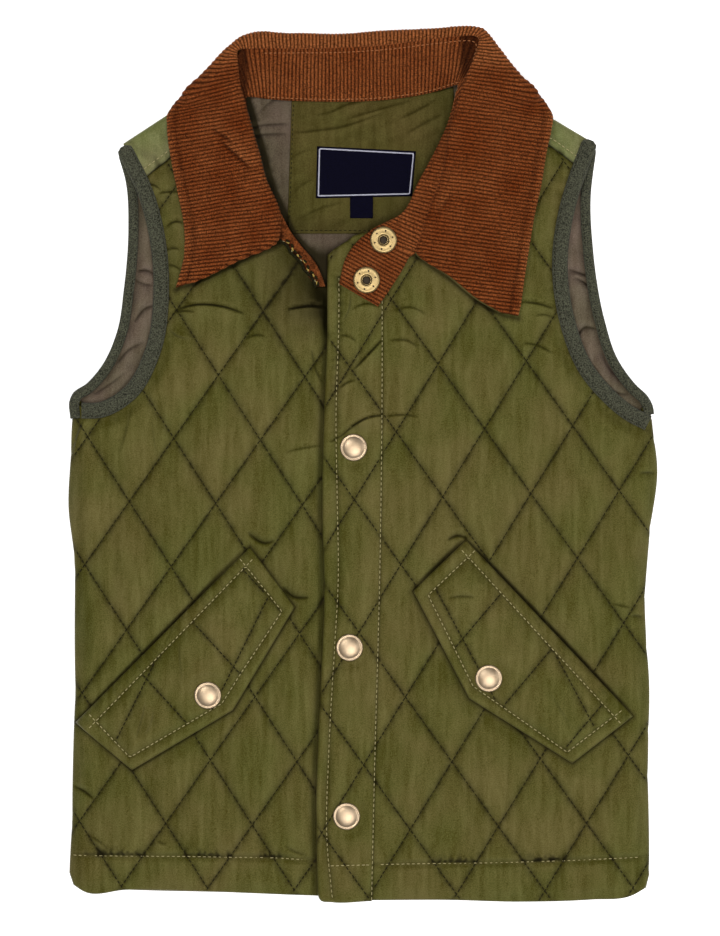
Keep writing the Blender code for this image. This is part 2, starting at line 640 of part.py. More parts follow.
def make_back():
    """Back panel, its lining, and the facing, label and size tab inside its neck."""
    fold_right = np.array(YOKE_RIGHT)[:, :2]
    fold_left = np.array(YOKE_LEFT)[:, :2]
    yoke_clear = FRONT_WALL + SEAM_GAP
    shoulder_right = straight(shifted(fold_right, -yoke_clear), EDGE_STEP)
    shoulder_left = straight(shifted(fold_left, yoke_clear), EDGE_STEP)
    outline = join(
        smooth_curve(HEM_BACK, EDGE_STEP),
        shifted(side_left[::-1], SIDE_TUCK),
        [UNDERARM_LEFT],
        shifted(back_arm_left, -BOUND_EDGE)[::-1],
        shoulder_left,
        smooth_curve(NECK_BACK, EDGE_STEP)[::-1],
        shoulder_right[::-1],
        shifted(back_arm_right, BOUND_EDGE),
        [UNDERARM_RIGHT],
        shifted(side_right, SIDE_TUCK),
    )
    flat_panel("back_panel", outline, 0, BACK_WALL, "green_nylon")

    lining_outline = join(
        shifted(smooth_curve(HEM_BACK[1:-1], EDGE_STEP), LINING_INSET),
        shifted(side_left[::-1][1:], LINING_INSET),
        shifted(back_arm_left, -BOUND_EDGE)[::-1],
        shoulder_left,
        smooth_curve(NECK_BACK, EDGE_STEP)[::-1],
        shoulder_right[::-1],
        shifted(back_arm_right, BOUND_EDGE),
        shifted(side_right[:-1], LINING_INSET),
    )
    quilted = lattice(QUILT_LINING, 2)
    free = (np.abs(quilted[:, 0]) > LINING_FREE_X) & (quilted[:, 1] > 0) & (quilted[:, 1] < LINING_FREE_Y)
    panel("back_lining", lining_outline, level(LINING_LOW), lining_top, np.empty((0, 2)), quilted[free],
          "taupe_lining")

    facing_low = LINING_LOW + LINING_WALL + SEAM_GAP
    label_low = facing_low + FACING_WALL + SEAM_GAP
    for name, corners, low, wall, finish in (
        ("neck_facing", FACING, facing_low, FACING_WALL, "green_nylon"),
        ("neck_label", LABEL, label_low, LABEL_WALL, "navy_satin"),
        ("size_tab", SIZE_TAB, label_low, LABEL_WALL, "navy_satin"),
    ):
        flat_panel(name, join(corners), low, wall, finish)


def front_panel(name, outline, low, top, quilt, side, armhole, placket_line):
    """Quilted front with rows of points inside its side seam, its binding and the placket."""
    inward = 1 if side[0, 0] < 0 else -1
    rows = np.vstack([shifted(side, inward * SIDE_DROP / 2), shifted(side, inward * SIDE_DROP)])
    sparse = clear_of(coarse(outline, COARSE_STEP), rows, 2 * POINT_CLEAR)
    bound = shifted(armhole, inward * (BINDING_WIDTH + BINDING_BEVEL))
    pressed = np.vstack([rows, clear_of(np.vstack([bound, placket_line]), rows, POINT_CLEAR)])
    quilted = clear_of(lattice(quilt, 3), pressed, POINT_CLEAR)
    panel(name, outline, low, top, np.vstack([rows, sparse]), np.vstack([pressed, quilted]), "green_nylon")


def make_fronts():
    """Both quilted fronts and the placket on the left one."""
    covered = (placket_seam[:, 1] < HIDDEN_EDGE_TOP) & (placket_seam[:, 1] > HIDDEN_EDGE_END)
    hidden_edge = shifted(placket_seam[covered], -HIDDEN_EDGE_INSET)
    right = join(
        smooth_curve(HEM_RIGHT, EDGE_STEP),
        hidden_edge[::-1],
        neck_right[::-1],
        yoke_seam_right[::-1],
        shifted(arm_right, BOUND_EDGE)[arm_right[:, 1] < YOKE_RIGHT[0].seam_y - DOUBLED],
        side_right,
    )
    front_panel("front_right", right, front_right_low, front_right_top, QUILT_RIGHT, side_right,
                arm_right, shifted(placket_edge, -PLACKET_PRESS))

    left = join(
        smooth_curve(HEM_LEFT, EDGE_STEP),
        side_left[::-1],
        shifted(arm_left, -BOUND_EDGE)[arm_left[:, 1] < YOKE_LEFT[0].seam_y - DOUBLED][::-1],
        yoke_seam_left,
        neck_left,
        shifted(placket_seam, SEAM_GAP),
    )
    front_panel("front_left", left, front_left_low, front_left_top, QUILT_LEFT, side_left,
                arm_left, np.empty((0, 2)))

    bottom = smooth_curve(PLACKET_BOTTOM, CORNER_STEP)
    band = join(placket_edge, bottom, placket_seam[::-1], np.array(PLACKET_TOP))
    seats = np.vstack([ring_round(snap) for snap in SNAPS_PLACKET])
    quilted = clear_of(lattice(QUILT_LEFT, 4), seats, POINT_CLEAR)
    panel("placket", band, level(PLACKET_LOW), placket_top, np.empty((0, 2)), np.vstack([seats, quilted]),
          "green_nylon")


def make_yokes():
    """Plain strips that turn over the shoulders, down to the table."""
    top = FRONT_LOW + FRONT_WALL
    for name, rows in (("yoke_right", YOKE_RIGHT), ("yoke_left", YOKE_LEFT)):
        rings = []
        for fold_x, fold_y, seam_x, seam_y in straight(rows, YOKE_STEP):
            fold = np.array([fold_x, fold_y])
            reach = np.array([seam_x, seam_y]) - fold
            length = np.linalg.norm(reach)
            inward = reach / length
            leg = length - SEAM_GAP
            section = [
                (0, 0), (0, top - YOKE_FOLD), (YOKE_FOLD / 3, top - YOKE_FOLD / 3), (YOKE_FOLD, top),
                (leg, top), (leg, FRONT_LOW), (YOKE_FOLD, FRONT_LOW),
                (FRONT_WALL, FRONT_LOW - YOKE_FOLD / 2), (FRONT_WALL, 0),
            ]
            rings.append([(*(fold + inward * across), height) for across, height in section])
        loft(name, rings, "green_nylon")


def make_binding(name, line, inward, width, low, seat):
    """Binding along an armhole edge: a leg over the cloth and a lip outside its edge."""
    rings = []
    for place, normal in zip(line, side_normals(line) * inward):
        ends = [place, place + normal * width]
        foot = low(*place)
        outer, inner = (seat(*end) + BINDING_GAP for end in ends)
        section = [
            (0, foot), (0, outer + BINDING_WALL - BINDING_BEVEL), (BINDING_BEVEL, outer + BINDING_WALL),
            (width, inner + BINDING_WALL), (width, inner), (BINDING_WALL, outer), (BINDING_WALL, foot),
        ]
        rings.append([(*(place + normal * across), height) for across, height in section])
    loft(name, rings, "felt_tape")


def make_bindings():
    """The four armhole bindings."""
    lining_edge = level(LINING_LOW + LINING_WALL)
    front_edge = FRONT_LOW + FRONT_WALL
    make_binding("binding_front_right", arm_right, 1, BINDING_WIDTH, front_right_low,
                 lambda x, y: front_edge + crown_right(x, y))
    make_binding("binding_front_left", arm_left, -1, BINDING_WIDTH, front_left_low,
                 lambda x, y: front_edge + crown_left(x, y))
    make_binding("binding_back_right", back_arm_right, 1, BINDING_WIDTH_BACK, level(0), lining_edge)
    make_binding("binding_back_left", back_arm_left, -1, BINDING_WIDTH_BACK, level(0), lining_edge)


def flap_heights(front_low, quilt, outline, snap):
    """Underside and top of a flap, which rests on the puffs of its front."""
    closed = np.vstack([outline, outline[:1]])

    def low(x, y):
        return front_low(x, y) + FRONT_WALL + FRONT_PUFF + FLAP_GAP

    def top(x, y):
        fade = ramp(distance_to(closed, x, y) / FLAP_FADE)
        fade = fade * ramp((np.hypot(x - snap[0], y - snap[1]) - SNAP_CLEAR) / SNAP_FADE)
        return low(x, y) + FLAP_WALL + FLAP_PUFF * fade * pillow(quilt, x, y)

    return low, top


def make_flaps():
    """The two pocket flaps and their snaps."""
    for side, corners, front_low, quilt, snap in (
        ("right", FLAP_RIGHT, front_right_low, QUILT_FLAP_RIGHT, SNAP_FLAP_RIGHT),
        ("left", FLAP_LEFT, front_left_low, QUILT_FLAP_LEFT, SNAP_FLAP_LEFT),
    ):
        outline = join(straight(corners + corners[:1], FLAP_STEP))
        low, top = flap_heights(front_low, quilt, outline, snap)
        seat = ring_round(snap)
        quilted = clear_of(lattice(quilt, 4), seat, POINT_CLEAR)
        panel(f"flap_{side}", outline, low, top, coarse(outline, COARSE_STEP), np.vstack([seat, quilted]),
              "green_nylon")
        height = top(seat[:, 0], seat[:, 1]).max() + SEAM_GAP
        turned(f"snap_flap_{side}", SNAP_CAP, (*snap, height), "brass")


def make_placket_snaps():
    """The three capped snaps down the placket."""
    height = PLACKET_LOW + PLACKET_WALL + SEAM_GAP
    for number, snap in enumerate(SNAPS_PLACKET, 1):
        turned(f"snap_placket_{number}", SNAP_CAP, (*snap, height), "brass")


def fall_section(row):
    """Middle of the fall's wall from the stand to its free edge, flat or turned under at the edge."""
    seam = np.array([row.seam_x, row.seam_y])
    reach = np.array([row.edge_x, row.edge_y]) - seam
    length = np.linalg.norm(reach)
    crest = row.seam_z + row.rise
    if row.tail == 0:
        flatness = 1 - min(row.rise / FLAT_RISE, 1)
        shares = ROLLED_SHARES + (FLAT_SHARES - ROLLED_SHARES) * flatness
        falling = ramp((shares - ROLLED_SHARES[2]) / (1 - ROLLED_SHARES[2]))
        heights = np.where(shares > 0, crest, row.seam_z) * (1 - falling) + row.edge_z * falling
        return [(*(seam + reach * share), height) for share, height in zip(shares, heights)]
    foot = COLLAR_WALL / 2 + RIB_HEIGHT
    steps = np.arange(row.last_on_top + 1) / row.last_on_top
    shares = steps ** (row.last_on_top / 2)
    path = [(share * (length - ROLL_RADIUS), row.seam_z + row.rise * min(1, 3 * share)) for share in shares]
    outermost = (length - foot, (crest + foot) / 2)
    ends = {
        2: [outermost, (length - ROLL_RADIUS, foot), (length - row.tail, foot)],
        3: [outermost, (length - row.tail, foot)],
        4: [(length - foot, row.edge_z)],
    }
    path += ends[row.last_on_top]
    return [(*(seam + reach / length * across), height) for across, height in path]


def make_corduroy(name, rows, ribs_to_a_step):
    """Corduroy sheet through rows of points, with a rib on every other row of its outer face."""
    grid = smooth_curve(rows, RIB_PITCH / 2, ribs_to_a_step)
    foot = COLLAR_WALL / 2 + RIB_HEIGHT
    grid[..., 2] = np.maximum(grid[..., 2], foot)
    ribs = RIB_HEIGHT * (np.arange(len(grid)) % 2)
    sheet(name, grid, COLLAR_WALL, ribs, ribs_to_a_step, "corduroy")


def make_collar():
    """Stand with its tab, fall with its two leaves, and the sockets on the tab."""
    stand_rows = []
    for row in STAND:
        neck, top = np.array(row[:3]), np.array(row[3:])
        stand_rows.append([neck, (neck + top) / 2, top])
    make_corduroy("collar_stand", stand_rows, 2)
    make_corduroy("collar_fall", [fall_section(row) for row in FALL], 6)

    seat = STAND[-1].neck_z + COLLAR_WALL / 2 + RIB_HEIGHT + SEAM_GAP
    for number, place in enumerate(SNAPS_COLLAR, 1):
        turned(f"snap_collar_{number}", SNAP_SOCKET, (*place, seat), "brass")


for leftover in list(bpy.data.objects):
    bpy.data.objects.remove(leftover, do_unlink=True)

make_back()
make_fronts()
make_yokes()
make_bindings()
make_flaps()
make_placket_snaps()
make_collar()
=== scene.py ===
"""Looks of a toddler's quilted vest that lies flat with its front snapped shut.

+X points to the wearer's left, +Y to the collar and +Z up from the table. Left and right in a
name are the wearer's. Sizes are in millimetres, and become metres where a mesh is made.
"""

import math
from collections import namedtuple

import bpy
import numpy as np
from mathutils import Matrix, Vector
from mathutils.geometry import delaunay_2d_cdt
from mathutils.kdtree import KDTree


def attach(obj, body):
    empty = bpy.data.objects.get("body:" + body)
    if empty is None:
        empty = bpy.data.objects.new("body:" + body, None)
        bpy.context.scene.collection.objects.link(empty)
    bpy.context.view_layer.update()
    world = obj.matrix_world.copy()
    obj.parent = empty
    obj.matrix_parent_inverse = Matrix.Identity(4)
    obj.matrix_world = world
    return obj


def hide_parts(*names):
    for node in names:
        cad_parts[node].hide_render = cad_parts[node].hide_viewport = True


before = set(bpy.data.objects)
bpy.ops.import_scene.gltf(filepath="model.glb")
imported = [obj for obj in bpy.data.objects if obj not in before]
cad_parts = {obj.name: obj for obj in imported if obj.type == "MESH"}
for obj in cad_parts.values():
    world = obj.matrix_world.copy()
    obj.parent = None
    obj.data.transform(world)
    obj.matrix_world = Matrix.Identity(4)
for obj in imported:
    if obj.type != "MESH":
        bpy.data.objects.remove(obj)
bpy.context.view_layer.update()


# The view is straight down, as on clothes laid out for a catalogue. A long lens keeps the collar,
# which lies highest, at the scale of the hem.
MM = 0.001
MM_PER_PIXEL = 0.54
VIEW_HEIGHT = 936 * MM_PER_PIXEL
VIEW_CENTRE = (-1.62, -2.16)
VIEW_LEVEL = 8.0
CAMERA_HEIGHT = 3000.0
SENSOR = 36.0

camera_data = bpy.data.cameras.new("camera")
camera_data.sensor_width = SENSOR
camera_data.lens = SENSOR * (CAMERA_HEIGHT - VIEW_LEVEL) / VIEW_HEIGHT
camera_data.clip_end = 10.0
camera = bpy.data.objects.new("camera", camera_data)
camera.location = Vector((*VIEW_CENTRE, CAMERA_HEIGHT)) * MM
bpy.context.scene.collection.objects.link(camera)
bpy.context.scene.camera = camera


# The studio is a white light table between pale walls, with one large softbox beyond the hem and two
# weaker ones at the sides. The ceiling is dark, so flat cloth keeps its colour and folds shine.
def linear(colour):
    """Scene-linear colour of an sRGB hex value."""
    values = [int(colour[i:i + 2], 16) / 255 for i in (1, 3, 5)]
    return [v / 12.92 if v <= 0.04045 else ((v + 0.055) / 1.055) ** 2.4 for v in values] + [1.0]


def add_node(tree, kind, settings, inputs):
    """Adds a node with its settings, and sets or links its inputs."""
    node = tree.nodes.new(kind)
    for name, value in settings.items():
        setattr(node, name, value)
    for name, value in inputs.items():
        if isinstance(value, bpy.types.NodeSocket):
            tree.links.new(value, node.inputs[name])
        else:
            node.inputs[name].default_value = value
    return node


def new_material(name, finish):
    """Material with its tree, its shader set to a finish, and the piece's own coordinates."""
    material = bpy.data.materials.new(name)
    material.use_nodes = True
    tree = material.node_tree
    shader = tree.nodes["Principled BSDF"]
    for setting, value in finish.items():
        shader.inputs[setting].default_value = value
    place = add_node(tree, "ShaderNodeTexCoord", {}, {}).outputs["Object"]
    return material, tree, shader, place


def make_piece(name, points, faces, *materials):
    """Mesh object from points in millimetres, shaded smooth, with its faces turned outwards."""
    mesh = bpy.data.meshes.new(name)
    mesh.from_pydata((np.asarray(points, float) * MM).tolist(), [], faces)
    for material in materials:
        mesh.materials.append(material)
    mesh.calc_loop_triangles()
    corners = np.zeros(len(mesh.loop_triangles) * 3, np.int32)
    mesh.loop_triangles.foreach_get("vertices", corners)
    first, second, third = np.asarray(points, float)[corners.reshape(-1, 3)].transpose(1, 0, 2)
    if (first * np.cross(second, third)).sum() < 0:
        mesh.flip_normals()
    mesh.shade_smooth()
    piece = bpy.data.objects.new(name, mesh)
    bpy.context.scene.collection.objects.link(piece)
    return piece


FLOOR_HALF = 1500.0
FLOOR_DROP = 0.3
FLOOR_MOTTLE = 60.0
FLOOR_GLOW = 0.6

# The laminate of the table is smooth and matt and lit from below, so it is white with hardly a shadow.
floor_material, floor_tree, floor_shader, floor_place = new_material("white_laminate", {
    "Roughness": 0.6, "Emission Color": linear("#ffffff"), "Emission Strength": FLOOR_GLOW,
})
mottle = add_node(floor_tree, "ShaderNodeTexNoise", {}, {
    "Vector": floor_place, "Scale": 1 / (FLOOR_MOTTLE * MM),
})
shade = add_node(floor_tree, "ShaderNodeMix", {"data_type": "RGBA"}, {
    0: mottle.outputs[0], 6: linear("#fbfaf9"), 7: linear("#ffffff"),
})
floor_tree.links.new(shade.outputs[2], floor_shader.inputs["Base Color"])
floor_corners = [(-1, -1), (1, -1), (1, 1), (-1, 1)]
floor = make_piece(
    "floor",
    [(x * FLOOR_HALF, y * FLOOR_HALF, -FLOOR_DROP) for x, y in floor_corners],
    [[0, 1, 2, 3]],
    floor_material,
)

world = bpy.data.worlds.new("studio")
world.use_nodes = True
sky = world.node_tree
direction = add_node(sky, "ShaderNodeTexCoord", {}, {}).outputs["Generated"]
height = add_node(sky, "ShaderNodeSeparateXYZ", {}, {0: direction}).outputs["Z"]
glow = add_node(sky, "ShaderNodeMapRange", {"interpolation_type": "SMOOTHSTEP"}, {
    "Value": height, "From Min": 0.3, "From Max": 0.95, "To Min": 0.55, "To Max": 0.12,
})
sky.links.new(glow.outputs[0], sky.nodes["Background"].inputs["Strength"])
sky.nodes["Background"].inputs["Color"].default_value = linear("#f6f7fa")
bpy.context.scene.world = world
bpy.context.scene.view_settings.view_transform = "Standard"

for light_name, place, size, power in (
    ("softbox_hem", (220, -470, 2100), 900, 24.8),
    ("softbox_left", (-480, 420, 1300), 160, 6.2),
    ("softbox_right", (1000, 100, 800), 600, 3.0),
):
    light_data = bpy.data.lights.new(light_name, "AREA")
    light_data.size = size * MM
    light_data.energy = power
    light = bpy.data.objects.new(light_name, light_data)
    light.location = Vector(place) * MM
    light.visible_camera = False
    light.rotation_euler = (-light.location).to_track_quat("-Z", "Y").to_euler()
    bpy.context.scene.collection.objects.link(light)


# The back is a quilted panel of green nylon over wadding, and lies outer side down on the table.
# It shows as a thin edge at the hem and the armholes; its stitch lines press into its underside.
SIDE_RIGHT = [(-157.5, 31), (-158.5, 2), (-159.3, -24), (-157, -46), (-156, -100), (-157, -165),
              (-158.8, -221)]
SIDE_LEFT = [(156.5, 24), (159.3, -3), (155.5, -36), (152.8, -73), (155, -122), (154.4, -165),
             (155.2, -222)]
UNDERARM_RIGHT = (-156.3, 34)
UNDERARM_LEFT = (155.3, 33.5)
HEM_BACK = [(-155.5, -226), (-149, -229.5), (-128, -230.4), (-80, -231.6), (0, -233.4), (85, -236.3),
            (125, -235), (145, -232), (152, -227.5)]
ARMHOLE_BACK_RIGHT = [(-132.8, 168), (-128.5, 153), (-127, 127), (-129.5, 94), (-133, 72),
                      (-142, 52.2), (-149.3, 43.8), (-157.2, 38), (-158.6, 34.6), (-158.3, 24.5)]
ARMHOLE_BACK_LEFT = [(126.4, 171), (123.2, 143), (124.5, 116), (126.5, 99), (130.7, 78),
                     (138.2, 56), (147, 43.6), (154.8, 35.6), (156.8, 31), (157.4, 27)]
SHOULDER_RIGHT = [(-129.6, 173.2), (-105.5, 189), (-88, 197.5), (-71.5, 205.7)]
SHOULDER_LEFT = [(124.6, 173.6), (104.2, 185.8), (80, 197.5), (56.5, 209)]
NECK_BACK = [(-69.8, 203.2), (-64.5, 202.4), (-50, 201), (-24.3, 199.8), (10.8, 200.6), (40, 204.6),
             (53.5, 207.2)]
BACK_WALL = 2.2
BACK_STEPS = (8.0, 3.5)
BACK_EDGE = 1.0
UNDERARM_CLEAR = 3.0
BOUND_EDGE = 1.5
SHOULDER_CLEAR = 2.1
SIDE_TUCK = 0.4
STITCH_PRESS = 0.5
OUTLINE_STEP = 1.5
QUILT_BACK = {"x": 0.0, "y": 10.0, "width": 47.0, "height": 70.0, "lean": 0.0}
QUILT_ROW_GAP = 39.0
QUILT_ROW_UNIT = 42.0


def ramp(value):
    """Zero below 0, one above 1 and smooth between."""
    value = np.clip(value, 0, 1)
    return value * value * (3 - 2 * value)


def smooth_curve(rows, step, count=None):
    """Rows about one step apart, or a number of rows, on a smooth curve through the given rows."""
    rows = np.array(rows, float)
    flat = rows.reshape(len(rows), -1)
    centres = rows.reshape(len(rows), -1, rows.shape[-1]).mean(axis=1)
    lengths = np.linalg.norm(np.diff(centres, axis=0), axis=1)
    marks = np.concatenate([[0], np.cumsum(lengths)])
    slopes = np.gradient(flat, marks, axis=0)
    places = np.linspace(0, marks[-1], count or max(1, round(marks[-1] / step)) + 1)
    index = np.clip(np.searchsorted(marks, places, "right") - 1, 0, len(rows) - 2)
    span = lengths[index][:, None]
    t = (places - marks[index])[:, None] / span
    curve = (
        (2 * t**3 - 3 * t**2 + 1) * flat[index]
        + (t**3 - 2 * t**2 + t) * span * slopes[index]
        + (3 * t**2 - 2 * t**3) * flat[index + 1]
        + (t**3 - t**2) * span * slopes[index + 1]
    )
    return curve.reshape((-1,) + rows.shape[1:])


def straight(corners, step):
    """Points about one step apart on straight lines between the corners."""
    corners = np.array(corners, float)
    points = []
    for start, end in zip(corners[:-1], corners[1:]):
        count = max(1, round(np.linalg.norm(end - start) / step))
        points.extend(start + (end - start) * i / count for i in range(count))
    points.append(corners[-1])
    return np.array(points)


def shifted(line, distance):
    """A line moved sideways, to the left of its own direction."""
    along = np.gradient(line, axis=0)
    along /= np.linalg.norm(along, axis=1)[:, None]
    return line + distance * np.column_stack([-along[:, 1], along[:, 0]])


def signed_area(outline):
    """Area inside an outline in square millimetres, below zero where it runs clockwise."""
    following = np.roll(outline, -1, axis=0)
    return np.sum(outline[:, 0] * following[:, 1] - outline[:, 1] * following[:, 0]) / 2


def join(*lines):
    """One closed outline, anticlockwise, from lines that follow each other."""
    corners = np.vstack(lines)
    corners = straight(looped(corners), OUTLINE_STEP)[:-1]
    points = []
    for point in corners:
        if not points or np.linalg.norm(point - points[-1]) > OUTLINE_STEP / 3:
            points.append(point)
    if np.linalg.norm(points[0] - points[-1]) < OUTLINE_STEP / 3:
        points.pop()
    points = np.array(points)
    return points if signed_area(points) > 0 else points[::-1]


PLACES_AT_ONCE = 3000


def nearest_on(line, x, y):
    """Distance of places from a line, the side on which they lie, and how far along it they are."""
    line = np.asarray(line, float)
    along = np.diff(line, axis=0)
    squared = (along**2).sum(axis=1)
    places = np.column_stack([np.ravel(x), np.ravel(y)]).astype(float)
    found = []
    for block in np.array_split(places, len(places) // PLACES_AT_ONCE + 1):
        to = block[:, None] - line[:-1]
        share = np.clip((to * along).sum(-1) / squared, 0, 1)
        off = to - share[..., None] * along
        gap = np.hypot(off[..., 0], off[..., 1])
        best = gap.argmin(axis=1)
        row = np.arange(len(block))
        side = np.sign(along[best, 0] * off[row, best, 1] - along[best, 1] * off[row, best, 0])
        found.append(np.stack([gap[row, best], side, (best + share[row, best]) / len(along)]))
    return np.concatenate(found, axis=1).reshape((3,) + np.shape(x))


def gap_to(line, x, y):
    """Distance of places from a line."""
    return nearest_on(line, x, y)[0]


def looped(outline):
    """An outline with its first point again at its end."""
    return np.vstack([outline, outline[:1]])


def level(height):
    """Surface at one height."""
    return lambda x, y: np.full(np.shape(x), height)


def inside(outline, x, y):
    """Which places lie within an outline."""
    within = np.zeros(np.shape(x), bool)
    for (x1, y1), (x2, y2) in zip(outline, np.roll(outline, -1, axis=0)):
        if y1 != y2:
            within ^= ((y1 > y) != (y2 > y)) & (x < x1 + (y - y1) * (x2 - x1) / (y2 - y1))
    return within


CREASE_ROWS = (0.0, 0.6, -0.6, 1.3, -1.3)
CREASE_STEP = 1.2
CREASE_CLEAR = 0.7
EDGE_DEPTHS = (0.14, 0.45, 1.0)
EDGE_KEPT = 0.92
GRID_ROW = 0.866
WELD = 1e-6


def crease_points(lines):
    """Points in close rows along and beside the lines, each in a small cell of its own."""
    rows = []
    for offset in CREASE_ROWS:
        rows += [shifted(straight(line, CREASE_STEP), offset) for line in lines]
    points = np.vstack(rows)
    cells = {}
    for number, cell in enumerate(map(tuple, np.floor(points / (CREASE_STEP / 2)).astype(int))):
        cells.setdefault(cell, number)
    return points[sorted(cells.values())]


def search_tree(points):
    """Tree that finds the nearest of a set of points, seen from above."""
    tree = KDTree(len(points))
    for number, point in enumerate(points):
        tree.insert((point[0], point[1], 0), number)
    tree.balance()
    return tree


def cloth_panel(name, outline, low, top, steps, edge, material, creases=()):
    """Closed piece of cloth with rounded edges, between an under and a creased upper face."""
    outline = np.asarray(outline)
    count = len(outline)
    edge = np.broadcast_to(np.asarray(edge, float), count)
    rim = looped(outline)
    along = np.roll(outline, -1, axis=0) - np.roll(outline, 1, axis=0)
    along /= np.linalg.norm(along, axis=1)[:, None]
    inward = np.column_stack([-along[:, 1], along[:, 0]])
    middle = (low(*outline.T) + top(*outline.T)) / 2
    points = [np.column_stack([outline, middle])]
    faces = []

    def edge_near(places):
        gap, side, share = nearest_on(rim, *places.T)
        return gap, edge[(share * count).astype(int) % count]

    for height, step, turn in ((top, steps[0], 1), (low, steps[1], -1)):
        corner, far = outline.min(axis=0), outline.max(axis=0)
        columns, rows = np.meshgrid(np.arange(corner[0], far[0], step),
                                    np.arange(corner[1], far[1], step * GRID_ROW))
        columns[1::2] += step / 2
        grid = np.column_stack([columns.ravel(), rows.ravel()])
        grid = grid[inside(outline, *grid.T)]
        gap, radius = edge_near(grid)
        kept = [grid[gap > radius + step / 2]]
        if len(creases) and height is top:
            close = crease_points(creases)
            close = close[inside(outline, *close.T)]
            gap, radius = edge_near(close)
            close = close[gap > radius + CREASE_STEP / 3]
            tree = search_tree(close)
            clear = [tree.find((*point, 0))[2] > CREASE_CLEAR * step for point in kept[0]]
            kept = [kept[0][clear], close]
        for depth in EDGE_DEPTHS:
            row = outline + inward * (edge * depth)[:, None]
            kept.append(row[gap_to(rim, *row.T) > EDGE_KEPT * edge * depth])
        places = np.vstack(kept)
        gap, radius = edge_near(places)
        rounding = np.sqrt(1 - (1 - np.clip(gap / radius, 0, 1)) ** 2)
        centre = (low(*places.T) + top(*places.T)) / 2
        heights = centre + (height(*places.T) - centre) * rounding
        corners = [Vector(point) for point in np.vstack([outline, places])]
        filled = delaunay_2d_cdt(corners, [], [list(range(count))], 1, WELD)
        start = sum(len(block) for block in points) - count
        for face in filled[2]:
            faces.append([k if k < count else k + start for k in face][::turn])
        points.append(np.column_stack([places, heights]))
    return make_piece(name, np.vstack(points), faces, material)


PUFF_SHAPE = 0.45


def lattice(quilt, x, y):
    """Place among the two families of stitch lines, whose lines lie at whole numbers."""
    lean = math.radians(quilt["lean"])
    right, up = x - quilt["x"], y - quilt["y"]
    across = (right * math.cos(lean) - up * math.sin(lean)) / quilt["width"]
    upward = (right * math.sin(lean) + up * math.cos(lean)) / quilt["height"]
    return across + upward, across - upward


def pillow(quilt, x, y):
    """Puff of the quilting: zero on the stitch lines, one in the middle of a diamond."""
    one, other = (place % 1 for place in lattice(quilt, x, y))
    return (16 * one * (1 - one) * other * (1 - other)) ** PUFF_SHAPE


WAVES = 64


def ripple(x, y, width, height, seed):
    """Smooth random waves of about a width and a height, from -1 to 1."""
    grid = np.random.default_rng(seed).uniform(-1, 1, (WAVES, WAVES))
    u, v = np.asarray(x) / width + WAVES // 2, np.asarray(y) / height + WAVES // 2
    left, below = np.floor(u).astype(int), np.floor(v).astype(int)
    across, upward = ramp(u - left), ramp(v - below)
    left, right = left % WAVES, (left + 1) % WAVES
    below, above = below % WAVES, (below + 1) % WAVES
    lower = grid[left, below] * (1 - across) + grid[right, below] * across
    upper = grid[left, above] * (1 - across) + grid[right, above] * across
    return lower * (1 - upward) + upper * upward


STREAK_WIDTH = 3.5
STREAK_LENGTH = 22.0
PATCH_SIZE = 32.0
GRAIN_SIZE = 0.55


